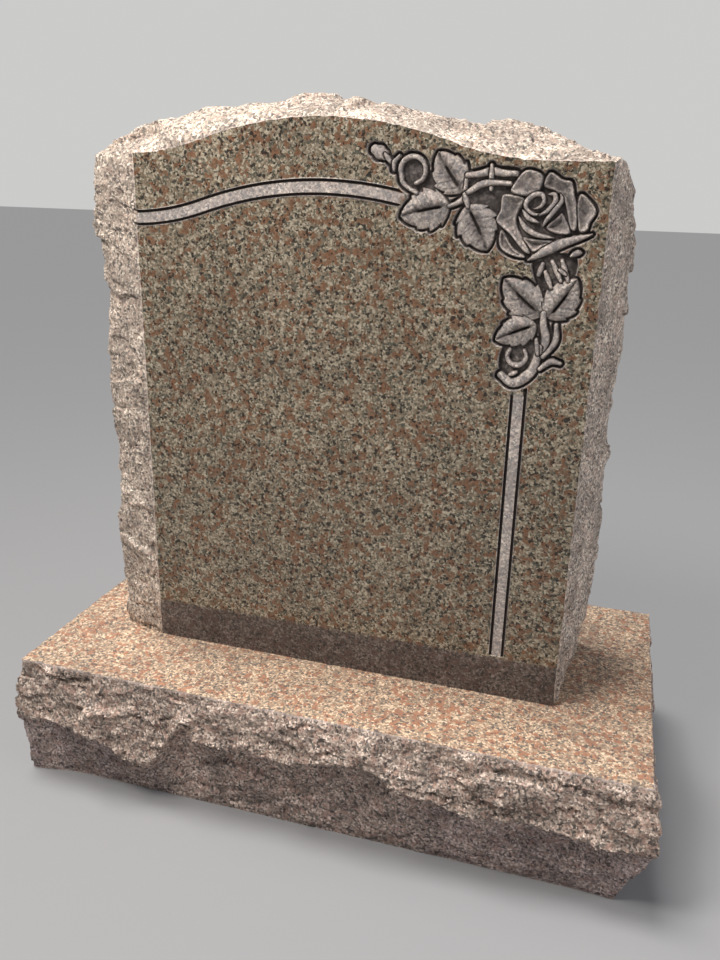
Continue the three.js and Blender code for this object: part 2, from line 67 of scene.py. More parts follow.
class RockSizes(bpy.types.PropertyGroup):
    """How the broken sides look."""

    column_step: bpy.props.FloatProperty(
        name="Column step", description="Mesh spacing along the rough sides",
        default=2.35 * MM, unit="LENGTH")
    tablet_rows: bpy.props.IntProperty(
        name="Tablet rows", description="Rows of mesh from the tablet's face to its back", default=60)
    base_rows: bpy.props.IntProperty(
        name="Base rows", description="Rows of mesh from the base's top to its foot", default=66)
    chip_size: bpy.props.FloatProperty(
        name="Chip size", description="Width of the large chisel breaks",
        default=42 * MM, unit="LENGTH")
    chip_tilt: bpy.props.FloatProperty(
        name="Chip tilt", description="How far the large breaks lean", default=0.24)
    flake_size: bpy.props.FloatProperty(
        name="Flake size", description="Width of the small breaks",
        default=14 * MM, unit="LENGTH")
    flake_tilt: bpy.props.FloatProperty(
        name="Flake tilt", description="How far the small breaks lean", default=0.26)
    crystal_size: bpy.props.FloatProperty(
        name="Crystal size", description="Width of the crystals that stand out of a break",
        default=4.6 * MM, unit="LENGTH")
    crystal_tilt: bpy.props.FloatProperty(
        name="Crystal tilt", description="How far single crystals lean", default=0.2)
    ledge_size: bpy.props.FloatProperty(
        name="Ledge size", description="Height between the small lips of a break",
        default=34 * MM, unit="LENGTH")
    undercut: bpy.props.FloatProperty(
        name="Undercut", description="How far the base is broken away under its lip",
        default=9 * MM, unit="LENGTH")
    edge_wobble: bpy.props.FloatProperty(
        name="Edge wobble", description="How uneven the edge of a flat face is",
        default=0.9 * MM, unit="LENGTH")
    edge_fade: bpy.props.FloatProperty(
        name="Edge fade", description="Distance from a flat face in which the breaks start",
        default=7 * MM, unit="LENGTH")


class CarvingSizes(bpy.types.PropertyGroup):
    """The border and the rose spray on the face."""

    ground_depth: bpy.props.FloatProperty(
        name="Ground depth", description="Depth of the carving's ground",
        default=5.5 * MM, unit="LENGTH")
    outline: bpy.props.FloatProperty(
        name="Outline", description="Width of the groove around the spray",
        default=3.2 * MM, unit="LENGTH")
    crease: bpy.props.FloatProperty(
        name="Crease", description="Width of the cut between two forms",
        default=1.3 * MM, unit="LENGTH")
    border_drop: bpy.props.FloatProperty(
        name="Border drop", description="Middle of the border, below the face's top edge",
        default=64 * MM, unit="LENGTH")
    border_inset: bpy.props.FloatProperty(
        name="Border inset", description="Middle of the border, from the face's right edge",
        default=66.5 * MM, unit="LENGTH")
    border_strip: bpy.props.FloatProperty(
        name="Border strip", description="Width of the frosted strip",
        default=10 * MM, unit="LENGTH")
    border_line: bpy.props.FloatProperty(
        name="Border line", description="Width of each cut line",
        default=3.2 * MM, unit="LENGTH")
    border_line_depth: bpy.props.FloatProperty(
        name="Border line depth", description="Depth of each cut line",
        default=3 * MM, unit="LENGTH")
    border_strip_depth: bpy.props.FloatProperty(
        name="Border strip depth", description="How far the frosted strip is let in",
        default=0.7 * MM, unit="LENGTH")
    foot_margin: bpy.props.FloatProperty(
        name="Foot margin", description="Frosted band along the foot of the face",
        default=50 * MM, unit="LENGTH")
    spray_length: bpy.props.FloatProperty(
        name="Spray length", description="From the face's right edge to the end of the top border",
        default=183 * MM, unit="LENGTH")
    spray_drop: bpy.props.FloatProperty(
        name="Spray drop", description="From the shoulder to the end of the upright border",
        default=208 * MM, unit="LENGTH")


def colour(name, description, default):
    """A colour that the user can change."""
    return bpy.props.FloatVectorProperty(
        name=name, description=description, subtype="COLOR", size=3, min=0, max=1, default=default)


class GraniteColours(bpy.types.PropertyGroup):
    """The minerals of the stone, as they look when polished."""

    ground: colour("Ground", "Grey-beige plagioclase", (0.195, 0.148, 0.102))
    pale: colour("Pale", "Pale quartz and feldspar", (0.43, 0.375, 0.29))
    pink: colour("Pink", "Red-brown feldspar", (0.215, 0.1, 0.055))
    grey: colour("Grey", "Grey-green quartz", (0.12, 0.115, 0.09))
    dark: colour("Dark", "Black mica", (0.032, 0.028, 0.025))
    broken: colour("Broken", "Light scattered by a broken face", (0.82, 0.68, 0.6))
    frosted: colour("Frosted", "Light scattered by a blasted face", (0.4, 0.378, 0.378))
    # The stain colour is the shadow paint in the cut lines and also the painted shade in the carving's
    # hollows.
    paint_and_shade: colour("Stain", "Shadow paint in the cut lines", (0.03, 0.022, 0.02))


# Rays onto the solids, for the large form of the broken sides


def solid_tree(node):
    """The node's own solid, for rays."""
    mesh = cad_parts[node].data
    mesh.calc_loop_triangles()
    points = [v.co.copy() for v in mesh.vertices]
    return BVHTree.FromPolygons(points, [tuple(t.vertices) for t in mesh.loop_triangles])


def face_outline():
    """Left edge, right edge, foot, shoulder and crown of the polished face, from the solid."""
    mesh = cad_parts["tablet"].data
    points = np.empty(len(mesh.vertices) * 3)
    mesh.vertices.foreach_get("co", points)
    points = points.reshape(-1, 3)
    face = points[np.abs(points[:, 1] - TABLET_LOW.y) < 1e-5]
    left, right = face[:, 0].min(), face[:, 0].max()
    shoulder = face[face[:, 0] > right - 2 * MM, 2].max()
    return left, right, TABLET_LOW.z, shoulder, face[:, 2].max()


FACE_LEFT, FACE_RIGHT, FOOT, SHOULDER, CROWN = face_outline()
CROWN_RISE = CROWN - SHOULDER
ARCH_HALF_WIDTH = 215 * MM
ARCH_OFFSET = -34 * MM  # the crown stands left of the face's middle
ARCH_MIDDLE = (FACE_LEFT + FACE_RIGHT) / 2 + ARCH_OFFSET
INFLECTION = 0.6  # share of the half width at which the crown turns into the hollow run


def top_edge(x):
    """Height of the face's serpentine top edge: a round crown and two hollow runs."""
    away = np.abs(np.asarray(x, float) - ARCH_MIDDLE) / ARCH_HALF_WIDTH
    crown = away**2 / INFLECTION
    run = 1 - (1 - np.minimum(away, 1)) ** 2 / (1 - INFLECTION)
    fall = np.where(away < INFLECTION, crown, run)
    return np.where(away < 1, SHOULDER + CROWN_RISE * (1 - fall), SHOULDER)


def smooth(values, passes):
    """Running averages along the first axis, with its ends kept."""
    values = np.array(values, float)
    for _ in range(passes):
        values[1:-1] = (values[:-2] + 2 * values[1:-1] + values[2:]) / 4
    return values


def rolled(values, passes):
    """Running averages round a ring."""
    for _ in range(passes):
        values = (np.roll(values, 1, 0) + 2 * values + np.roll(values, -1, 0)) / 4
    return values


def wobble(count, size, seed):
    """An uneven line about zero, with its ends at zero."""
    line = smooth(np.random.default_rng(seed).uniform(-1, 1, count), 2)
    line *= size / max(np.abs(line).max(), 1e-9)
    line[0] = line[-1] = 0
    return line


def resampled(path, count=None, step=None):
    """Points spread evenly along a polyline, how far along each one lies, and its length."""
    path = np.array(path, float)
    along = np.concatenate([[0], np.cumsum(np.linalg.norm(np.diff(path, axis=0), axis=1))])
    length = along[-1]
    at = np.linspace(0, length, (count or int(round(length / step))) + 1)
    points = np.stack([np.interp(at, along, axis) for axis in path.T], axis=1)
    return points, at, length


BROAD_PASSES = 14  # of averaging, before a rough side's broad direction is read


def grid_normals(points, aims, closed):
    """The broad direction that a rough side faces, at each point of its grid."""
    broad = points.copy()
    for _ in range(BROAD_PASSES):
        broad[:, 1:-1] = (broad[:, :-2] + 2 * broad[:, 1:-1] + broad[:, 2:]) / 4
        broad = rolled(broad, 1) if closed else smooth(broad, 1)
    if closed:
        across = np.roll(broad, -1, 0) - np.roll(broad, 1, 0)
    else:
        across = np.gradient(broad, axis=0)
    normals = np.cross(across, np.gradient(broad, axis=1))
    normals /= np.maximum(np.linalg.norm(normals, axis=2, keepdims=True), 1e-12)
    side = np.sign((normals * aims[:, None, :]).sum(axis=2, keepdims=True))
    return normals * np.where(side == 0, 1, side)


def strip_faces(columns, rows, closed):
    """Quads of a grid, which may close on itself."""
    span = columns if closed else columns - 1
    column, row = np.meshgrid(np.arange(span), np.arange(rows), indexing="ij")
    width = rows + 1
    here = column * width + row
    there = (column + 1) % columns * width + row
    return np.stack([here, there, there + 1, here + 1], axis=-1).reshape(-1, 4)


# Tablet: broken sides and top

# The points that the tablet's rays aim at lie this far outside the face, and those that they start
# from lie this far inside its edges and below its shoulders
LEFT_REACH = 45 * MM
RIGHT_REACH = 15 * MM
TOP_REACH = 15 * MM
SIDE_CORE = 60 * MM
TOP_CORE = 80 * MM

# The tablet's rays run at even depths, from just behind the carving, and then near the back
RAY_DEPTHS = 38
EVEN_END = 0.95
LAST_DEPTHS = [0.975, 1]
CARVING_CLEAR = 1.5 * MM


def outline_columns(step, extra_heights):
    """Points round the tablet and the inner points that look at them, seen from the front."""
    left = FACE_LEFT - LEFT_REACH
    right = FACE_RIGHT + RIGHT_REACH
    top = [(x, float(top_edge(x)) + TOP_REACH) for x in np.linspace(left, right, 60)]
    path = resampled([(left, FOOT), *top, (right, FOOT)], step=step)[0]
    side = path[:, 0] <= left + 1e-6
    added = [(left, z) for z in extra_heights]
    rising = np.concatenate([path[side], added]) if added else path[side]
    rising = rising[np.argsort(rising[:, 1])]
    keep = np.concatenate([[True], np.diff(rising[:, 1]) > 0.3 * MM])
    path = np.concatenate([rising[keep], path[~side]])
    inner = np.stack(
        [
            np.clip(path[:, 0], FACE_LEFT + SIDE_CORE, FACE_RIGHT - SIDE_CORE),
            np.minimum(path[:, 1], SHOULDER - TOP_CORE),
        ],
        axis=1,
    )
    return path, inner


def edge_point(inner, aim):
    """Where a line from an inner point leaves the polished face."""
    low, high = 0.0, 1.0
    while True:
        x, z = inner + aim * high
        if x < FACE_LEFT or x > FACE_RIGHT or z > top_edge(x):
            break
        high *= 1.5
    for _ in range(40):
        middle = (low + high) / 2
        x, z = inner + aim * middle
        inside = FACE_LEFT <= x <= FACE_RIGHT and z <= top_edge(x)
        low, high = (middle, high) if inside else (low, middle)
    return inner + aim * low


def tablet_strip(rock, sizes, extra_heights):
    """The broken sides and top as a grid, one column for each point of the outline."""
    tree = solid_tree("tablet")
    path, inner = outline_columns(rock.column_step, extra_heights)
    depth = TABLET_HIGH.y - TABLET_LOW.y
    rows = rock.tablet_rows
    first = (sizes.ground_depth + CARVING_CLEAR) / depth
    shares = np.concatenate([np.linspace(first, EVEN_END, RAY_DEPTHS), LAST_DEPTHS])
    uneven = wobble(len(path), rock.edge_wobble, 3)
    points, aims, masks = [], [], []
    for k, (aim_at, start) in enumerate(zip(path, inner)):
        aim = (aim_at - start) / np.linalg.norm(aim_at - start)
        edge = edge_point(start, aim) + aim * uneven[k]
        z = max(start[1], FOOT + NUDGE)
        profile = [(edge[0], TABLET_LOW.y, edge[1])]
        for share in shares:
            y = TABLET_LOW.y + min(share * depth, depth - NUDGE)
            hit = tree.ray_cast(Vector((start[0], y, z)), Vector((aim[0], 0, aim[1])))[0]
            if hit is None:
                raise RuntimeError(f"no stone at column {k}, depth {share:.2f}")
            profile.append((hit.x, TABLET_LOW.y + share * depth, hit.z))
        column, at, length = resampled(profile, rows)
        if k in (0, len(path) - 1):
            column[:, 2] = FOOT
        points.append(column)
        aims.append((aim[0], 0, aim[1]))
        masks.append(np.clip(np.minimum(at, length - at) / rock.edge_fade, 0, 1))
    points = np.array(points)
    outs = grid_normals(points, np.array(aims), False)
    outs[[0, -1], :, 2] = 0
    outs[:, -1, 1] = 0
    return points, outs, np.array(masks)


# Carving. A form's points are (inset, drop) in millimetres: how far left of the face's right edge
# and how far below its shoulder they lie.

# Levels, as shares of the ground's depth
CREST = 0.12
SHOULDER_LEVEL = 0.58
RIB = 0.8
HOLLOW = 0.72
CREASE_LEVEL = 0.78

LEAF_TEETH = 4
LEAF_VEINS = 5
RIM_WIDTH = 1.6  # millimetres, of a petal's raised rim
FROST_RIM = 0.5  # millimetres over which the frosting ends outside the groove
MESH_RIM = 0.9  # millimetres outside the groove that belong to the spray's mesh

LEAVES = [
    {"base": (135, 29), "tip": (160, -6), "width": 34, "bend": 0.1},
    {"base": (147, 42), "tip": (194, 53), "width": 37, "bend": -0.1},
    {"base": (130, 41), "tip": (108, 81), "width": 38, "bend": 0.08},
    {"base": (52, 139), "tip": (90, 106), "width": 35, "bend": 0.1},
    {"base": (46, 141), "tip": (22, 103), "width": 32, "bend": -0.1},
    {"base": (56, 148), "tip": (94, 165), "width": 29, "bend": -0.08},
]

STEMS = [
    ([(221, -7), (212, -2.5)], 13.5),
    ([(211, -3), (205, 4.5)], 5),
    ([(197, -2), (202, 4), (202, 11)], 4.5),
    ([(147, 42), (139, 38.5), (133, 33), (132, 18)], 5),
    ([(131, 14), (120, 12.5), (109, 10), (98, 11.5), (86, 11.5)], 7),
    ([(109, 5), (108.5, 26)], 5),
    ([(133, 31), (125, 26), (117, 21.5), (108, 20), (91, 20.5)], 6),
    ([(133, 31), (129, 42)], 5),
    ([(58, 101), (55, 91)], 5),
    ([(52, 98), (45.5, 112)], 5),
    ([(46.5, 88), (37, 105.5)], 5),
    ([(37.5, 87), (30.5, 105)], 5),
    ([(39, 95.5), (33, 99.5)], 4),
    ([(50, 137), (49, 148), (46, 158), (46.5, 168), (51, 179)], 8),
    ([(51, 170), (55, 190), (64, 201), (75, 206), (86, 199)], 10),
    ([(54.5, 162), (52, 176)], 4.6),
    ([(37, 147), (36, 157), (38, 166), (47, 178)], 6),
    ([(49, 190), (39, 182), (30, 183)], 6),
    ([(77, 198), (71, 195)], 4.5),
]

# centre, radius, first and last angle in degrees, width, and points added at the end
CURLS = [
    ((183.5, 10.5), 12.2, -75, 205, 5, [(193, 22), (187, 27), (179, 31)]),
    ((72, 179), 9.2, 140, 400, 5, []),
]

PETALS = [
    [(89, 28), (87, 20), (77, 8.5), (62, 13), (64, 26), (72, 31)],
    [(60, 22), (58, 13), (54, 10), (44, 16), (35.5, 18), (32, 30), (28, 42), (28, 58), (33, 58),
     (38, 42), (42, 32), (50, 26)],
    [(27, 28), (22, 30), (13, 39), (12, 45), (16, 52), (18, 59), (25, 60), (28, 46), (29, 36)],
    [(97, 31), (88, 30.5), (77, 34), (82, 47), (82, 56), (77, 66), (68, 81), (75, 79), (87, 66),
     (101, 54), (98, 44)],
    [(97, 63), (93, 64), (84, 77), (72, 85), (80, 85.5), (92, 81), (97, 74)],
    [(55, 58), (45, 48), (42, 45), (38, 50), (33, 62), (45, 63)],
    [(75, 68), (64, 69), (48, 70), (58, 77), (65, 80), (70, 75)],
]

ROSE_FOLDS = [
    ([(68, 42), (62, 40), (59, 34), (62, 29), (69, 30), (75, 36), (74, 42), (66, 47), (56, 44)], 4.6),
    ([(56, 29), (50, 29), (49, 36), (55, 43), (63, 48)], 5),
    ([(45, 28), (43, 34), (49, 43), (55, 51), (58, 57)], 4.6),
    ([(78, 43), (72, 50), (62, 54)], 4.6),
    ([(81, 49), (74, 59), (62, 65), (47, 67)], 5),
    ([(69, 88), (54, 79), (38, 71), (13, 62.5)], 9),
    ([(31, 83), (25, 79.5), (20, 79)], 5.5),
]

ROSE_MIDDLE = (62, 43)

GROUNDS = [
    [(133, 30), (130, 12), (86, 9), (97, 30), (104, 44), (128, 42)],
    [(60, 86), (28, 84), (30, 106), (52, 112), (60, 100)],
    [(82, 170), (58, 164), (50, 176), (62, 198), (76, 200), (86, 190)],
    [(180, 31), (168, 17), (160, 30), (155, 36), (170, 34)],
    [(183.5, -0.5), (175, 3), (172.5, 10.5), (175, 18), (183.5, 21.5), (192, 18), (194.5, 10.5),
     (192, 3)],
    [(84, 40), (50, 26), (40, 40), (32, 62), (48, 76), (74, 82), (88, 60)],
]

PIXEL = 0.3  # millimetres between samples of the carving
CELL_PIXELS = 16  # the coarsest mesh cell in the carving, in samples
CELLS = 49
FIELD_START = (-3.0, -18.0)  # inset and drop of the first sample
FIELD_INSET, FIELD_DROP = np.meshgrid(
    FIELD_START[0] + PIXEL * np.arange(CELLS * CELL_PIXELS + 1),
    FIELD_START[1] + PIXEL * np.arange(CELLS * CELL_PIXELS + 1),
    indexing="ij",
)


def curve_through(points, closed=False, steps=10):
    """A smooth line through a few points."""
    p = np.array(points, float)
    if closed:
        ring = np.concatenate([p[-1:], p, p[:2]])
    else:
        ring = np.concatenate([2 * p[:1] - p[1:2], p, 2 * p[-1:] - p[-2:-1]])
    t = np.linspace(0, 1, steps, endpoint=False)[:, None]
    out = []
    for a, b, c, d in zip(ring[:-3], ring[1:-2], ring[2:-1], ring[3:]):
        out.append(
            0.5 * (2 * b + (c - a) * t + (2 * a - 5 * b + 4 * c - d) * t**2
                   + (3 * b - a - 3 * c + d) * t**3)
        )
    line = np.concatenate(out)
    return line if closed else np.concatenate([line, p[-1:]])


def window(points, margin):
    """The part of the field around some points."""
    p = np.array(points)
    last = CELLS * CELL_PIXELS
    low = np.floor((p.min(0) - margin - FIELD_START) / PIXEL).astype(int).clip(0, last)
    high = np.ceil((p.max(0) + margin - FIELD_START) / PIXEL).astype(int).clip(0, last) + 1
    return slice(low[0], high[0]), slice(low[1], high[1])


def near_line(line, where):
    """Distance to a polyline and the share of its length at the nearest point."""
    x, z = FIELD_INSET[where], FIELD_DROP[where]
    best, share = np.full(x.shape, 1e9), np.zeros(x.shape)
    for k, (a, b) in enumerate(zip(line[:-1], line[1:])):
        d = b - a
        t = np.clip(((x - a[0]) * d[0] + (z - a[1]) * d[1]) / max(d @ d, 1e-9), 0, 1)
        gap = np.hypot(x - a[0] - t * d[0], z - a[1] - t * d[1])
        nearer = gap < best
        best = np.where(nearer, gap, best)
        share = np.where(nearer, (k + t) / (len(line) - 1), share)
    return best, share


# Each form gives its window on the field and, in there, the distance outside its outline, its level
# and its wash, which is how dark it is: shadow paint in its cut lines, and painted shade in its
# hollows and on its turned-away sides.


def ribbon_form(through, width, pointed=False):
    """A stem, a tendril or a rolled edge, rounded across."""
    line = curve_through(through)
    where = window(line, width / 2 + 4)
    gap, share = near_line(line, where)
    if pointed:
        half = width / 2 * np.sin(np.pi * np.clip(share, 0.015, 0.985)) ** 0.6
    else:
        half = width / 2 * (0.62 + 0.38 * np.sin(np.pi * np.clip(share, 0.08, 0.92)))
    across = np.clip(gap / half, 0, 1)
    level = SHOULDER_LEVEL + (CREST - SHOULDER_LEVEL) * np.sqrt(1 - across**2)
    # The last value darkens a ribbon towards its rolled sides: painted shade.
    return where, gap - half, level, 0.28 * across**3


def leaf_form(base, tip, width, bend):
    """A toothed leaf with two swelling halves, a cut midrib and fine side veins."""
    base, tip = np.array(base, float), np.array(tip, float)
    length = np.linalg.norm(tip - base)
    along = (tip - base) / length
    where = window([base - width / 2, base + width / 2, tip - width / 2, tip + width / 2], 5)
    x, z = FIELD_INSET[where] - base[0], FIELD_DROP[where] - base[1]
    t = (x * along[0] + z * along[1]) / length
    inside_t = np.clip(t, 0, 1)
    side = -x * along[1] + z * along[0] - bend * length * inside_t * (1 - inside_t)
    saw = (inside_t * LEAF_TEETH + 0.15) % 1
    half = width / 2 * np.sin(np.pi * inside_t**0.8) ** 0.72 * (0.9 + 0.2 * saw)
    half = np.maximum(half, 0.3)
    beyond = np.maximum(-t, t - 1) * length
    out = np.maximum(np.abs(side) - half, beyond)
    across = np.clip(np.abs(side) / half, 0, 1)
    swell = np.sin(np.pi * across**0.7) * np.clip(5 * inside_t * (1.15 - inside_t), 0, 1)
    level = SHOULDER_LEVEL + (CREST - SHOULDER_LEVEL) * swell
    rib = np.exp(-((side / 0.95) ** 2)) * eased(9 * (inside_t - 0.12)) * eased(5 * (0.72 - inside_t))
    vein = (inside_t * LEAF_VEINS - 0.9 * across) % 1
    veins = np.exp(-(((vein - 0.5) / 0.1) ** 2)) * eased(4 * across) * eased(4 * (0.9 - across))
    # Darker along the midrib and towards the rim is painted shade; the cut midrib and the veins take
    # shadow paint.
    shade_and_paint = 0.66 * np.exp(-((across / 0.42) ** 2)) + 0.9 * rib + 0.14 * veins + 0.2 * across**6
    return where, out, level + (RIB - CREST) * rib + 0.1 * veins, np.clip(shade_and_paint, 0, 0.95)


def petal_form(points):
    """A petal with a raised, rounded rim round a hollow."""
    line = curve_through(points, closed=True, steps=7)
    where = window(line, 4)
    closed = np.concatenate([line, line[:1]])
    gap, _ = near_line(closed, where)
    x, z = FIELD_INSET[where], FIELD_DROP[where]
    inside = np.zeros(x.shape, bool)
    for a, b in zip(closed[:-1], closed[1:]):
        crosses = (a[1] > z) != (b[1] > z)
        rise = b[1] - a[1] if b[1] != a[1] else 1e-9
        inside ^= crosses & (x < (b[0] - a[0]) * (z - a[1]) / rise + a[0])
    deepest = max(gap[inside].max(), 1e-6)
    fall = np.clip((gap - RIM_WIDTH) / max(0.8 * deepest - RIM_WIDTH, 0.8), 0, 1)
    dip = 1 - (1 - fall) ** 2
    far = np.hypot(x - ROSE_MIDDLE[0], z - ROSE_MIDDLE[1])
    low, high = far[inside].min(), far[inside].max()
    tucked = 1 - np.clip((far - low) / max(high - low, 1e-6), 0, 1)
    rounding = 0.3 * np.clip(1 - gap / 1.3, 0, 1) ** 2
    level = CREST + (HOLLOW - CREST) * dip + rounding + 0.22 * (tucked - 0.5)
    # Darker in the hollow and where the petal tucks under the next is painted shade.
    shade_and_paint = 0.42 * dip + 0.5 * eased(1.25 * tucked - 0.35)
    return where, np.where(inside, -gap, gap), level, np.clip(shade_and_paint, 0, 0.8)


def curl_form(centre, radius, first, last, width, tail):
    """Part of a ring, and the tail that it runs into."""
    angles = np.radians(np.linspace(first, last, 9))
    ring = [(centre[0] - radius * math.cos(a), centre[1] - radius * math.sin(a)) for a in angles]
    return ribbon_form([*ring, *tail], width)


def grown(mask, reach):
    """Distance to a mask, in millimetres, up to a reach."""
    span = int(math.ceil(reach / PIXEL))
    gap = np.where(mask, 0.0, 1e9)
    shifts = [(i, j) for i in range(-span, span + 1) for j in range(-span, span + 1)]
    padded = np.pad(mask, span)
    rows, columns = mask.shape
    for i, j in sorted(shifts, key=lambda s: math.hypot(*s)):
        far = math.hypot(i, j) * PIXEL
        if far > reach:
            break
        moved = padded[span + i : span + i + rows, span + j : span + j + columns]
        gap = np.where(moved & (gap > far), far, gap)
    return gap


def eased(t):
    """A soft step from 0 to 1."""
    t = np.clip(t, 0, 1)
    return t * t * (3 - 2 * t)


def averaged(field):
    """Running averages along the first axis, with its edge rows repeated."""
    padded = np.concatenate([field[:1], field, field[-1:]])
    return (padded[:-2] + 2 * field + padded[2:]) / 4


def blurred(field):
    """Running averages along both axes."""
    return averaged(averaged(field).T).T


def spray_field(sizes):
    """Level, shadow paint with painted shade, and frost of the whole spray on the field, and where it
    lies.
    """
    crease = sizes.crease / MM
    shape = FIELD_INSET.shape
    level, formed, creases_and_shading = np.ones(shape), np.zeros(shape, bool), np.zeros(shape)
    forms = [leaf_form(**leaf) for leaf in LEAVES]
    forms += [ribbon_form(*stem) for stem in STEMS]
    forms += [curl_form(*curl) for curl in CURLS]
    forms += [petal_form(petal) for petal in PETALS]
    forms += [ribbon_form(*fold, pointed=True) for fold in ROSE_FOLDS]
    for where, out, form_level, form_paint_and_shading in forms:
        cut = np.clip(1 - out / crease, 0, 1) * (out > 0)
        level[where] = np.maximum(level[where], CREASE_LEVEL * cut)
        creases_and_shading[where] = np.maximum(creases_and_shading[where], eased(1.4 * cut))
        inside = out <= 0
        level[where] = np.where(inside, form_level, level[where])
        creases_and_shading[where] = np.where(inside, form_paint_and_shading, creases_and_shading[where])
        formed[where] |= inside
    sunk = np.zeros(shape, bool)
    for points in GROUNDS:
        where, out = petal_form(points)[:2]
        sunk[where] |= out <= 0
    covered = formed | sunk
    outline = sizes.outline / MM
    gap = grown(covered, outline + 1)
    wall = eased((gap - 0.6 * outline) / (0.5 * outline))  # the groove's outer side
    ground = np.where(covered, 1, 1 - wall)
    from_forms = eased((grown(formed, 5) - 0.7) / 2.4)
    from_walls = eased((grown(~covered, 5) - 0.3) / 3)
    paint = 0.95 - 0.62 * from_forms * from_walls  # thinner on the open ground
    # Inside a form the dark is its painted shade and shadow paint; in the groove and on the ground it is
    # shadow paint.
    paint_and_shade = np.where(formed, creases_and_shading, eased(1.9 * ground - 0.5) * paint)
    level = np.where(formed, np.minimum(level, 1), ground)
    frost = np.maximum(formed, eased((outline + FROST_RIM - gap) / FROST_RIM))
    return blurred(level), blurred(paint_and_shade), blurred(frost), gap <= outline + MESH_RIM


def sampled(field, inset, drop):
    """The field's value at points, between its samples."""
    u = (np.asarray(inset) - FIELD_START[0]) / PIXEL
    v = (np.asarray(drop) - FIELD_START[1]) / PIXEL
    last = CELLS * CELL_PIXELS
    inside = (u >= 0) & (u <= last) & (v >= 0) & (v <= last)
    u, v = np.clip(u, 0, last - 1e-6), np.clip(v, 0, last - 1e-6)
    i, j = u.astype(int), v.astype(int)
    a, b = u - i, v - j
    value = (
        field[i, j] * (1 - a) * (1 - b) + field[i + 1, j] * a * (1 - b)
        + field[i, j + 1] * (1 - a) * b + field[i + 1, j + 1] * a * b
    )
    return np.where(inside, value, 0)


FLATNESS = 0.11  # millimetres by which a mesh cell may miss the carving


def field_points(level, depth_mm):
    """Mesh points for the carving: close together where its surface turns, wide apart elsewhere."""
    height = level * depth_mm
    bend = np.zeros(height.shape)
    bend[1:-1, :] = np.abs(height[2:, :] - 2 * height[1:-1, :] + height[:-2, :])
    bend[:, 1:-1] = np.maximum(
        bend[:, 1:-1], np.abs(height[:, 2:] - 2 * height[:, 1:-1] + height[:, :-2]))
    corners = set()
    cells = [(i * CELL_PIXELS, j * CELL_PIXELS) for i in range(CELLS) for j in range(CELLS)]
    size = CELL_PIXELS
    while cells:
        deeper = []
        for i, j in cells:
            worst = bend[i : i + size + 1, j : j + size + 1].max() * size * size / 8
            if size > 2 and worst > FLATNESS:
                half = size // 2
                deeper += [(i, j), (i + half, j), (i, j + half), (i + half, j + half)]
            elif worst > 1e-6:
                corners |= {(i, j), (i + size, j), (i, j + size), (i + size, j + size)}
        cells = deeper
        size //= 2
    at = np.array(sorted(corners))
    return FIELD_START[0] + at[:, 0] * PIXEL, FIELD_START[1] + at[:, 1] * PIXEL


# Tablet: the polished face, its border and its carving


def border_offset(x, z, sizes):
    """How far a point lies from the middle of the border, or a metre where there is no border."""
    slope = (top_edge(x + MM) - top_edge(x - MM)) / (2 * MM)
    above = (z - top_edge(x) + sizes.border_drop) / np.sqrt(1 + slope**2)
    on_top = x <= FACE_RIGHT - sizes.spray_length
    beside = x - (FACE_RIGHT - sizes.border_inset)
    on_side = (z >= FOOT + sizes.foot_margin) & (z <= SHOULDER - sizes.spray_drop)
    off = np.where(on_top, above, 1.0)
    return np.where(on_side & (np.abs(beside) < np.abs(off)), beside, off)


def border_profile(off, sizes):
    """Depth, frost and stain of the border at a distance from its middle."""
    strip, line = sizes.border_strip / 2, sizes.border_line
    off = np.abs(off)
    into = np.clip((off - strip) / line, 0, 1)
    groove = np.where((off > strip) & (off < strip + line), np.sin(np.pi * into) ** 0.5, 0)
    floor = np.where(off <= strip, sizes.border_strip_depth, 0)
    lip = (off > strip + 0.85 * line) & (off < strip + 1.1 * line)
    frost = ((off <= strip) | lip).astype(float)
    return floor + sizes.border_line_depth * groove, frost, np.clip(1.6 * groove, 0, 1)


def border_marks(sizes):
    """Distances from the border's middle at which the mesh has a row of points."""
    shares = (-0.02, 0.06, 0.3, 0.7, 0.9, 1.02, 1.25)  # of a cut line's width
    marks = [sizes.border_strip / 2 + share * sizes.border_line for share in shares]
    return sorted([-m for m in marks] + marks)


def border_points(sizes):
    """Rows of points along the border."""
    step, margin = 2.2 * MM, 1.8 * MM
    points = []
    end = FACE_RIGHT - sizes.spray_length
    for x in np.arange(FACE_LEFT + margin, end, step):
        slope = float(top_edge(x + MM) - top_edge(x - MM)) / (2 * MM)
        tilt = math.sqrt(1 + slope**2)
        for mark in border_marks(sizes):
            z = float(top_edge(x)) - sizes.border_drop + mark * tilt
            points.append((x, z))
    low, high = FOOT + sizes.foot_margin, SHOULDER - sizes.spray_drop
    rows = [low - 0.3 * MM, low, low + 0.4 * MM, *np.arange(low + step, high, 4 * step), high]
    middle = FACE_RIGHT - sizes.border_inset
    points += [(middle + mark, z) for z in rows for mark in border_marks(sizes)]
    return np.array(points)


def ring_distance(points, ring):
    """Distance from each point to the face's edge, measured to the ring's own points."""
    best = np.full(len(points), 1e9)
    for x, z in ring:
        best = np.minimum(best, np.hypot(points[:, 0] - x, points[:, 1] - z))
    return best


EDGE_CLEAR = 1.3 * MM  # the face's inner points keep this far from its edge


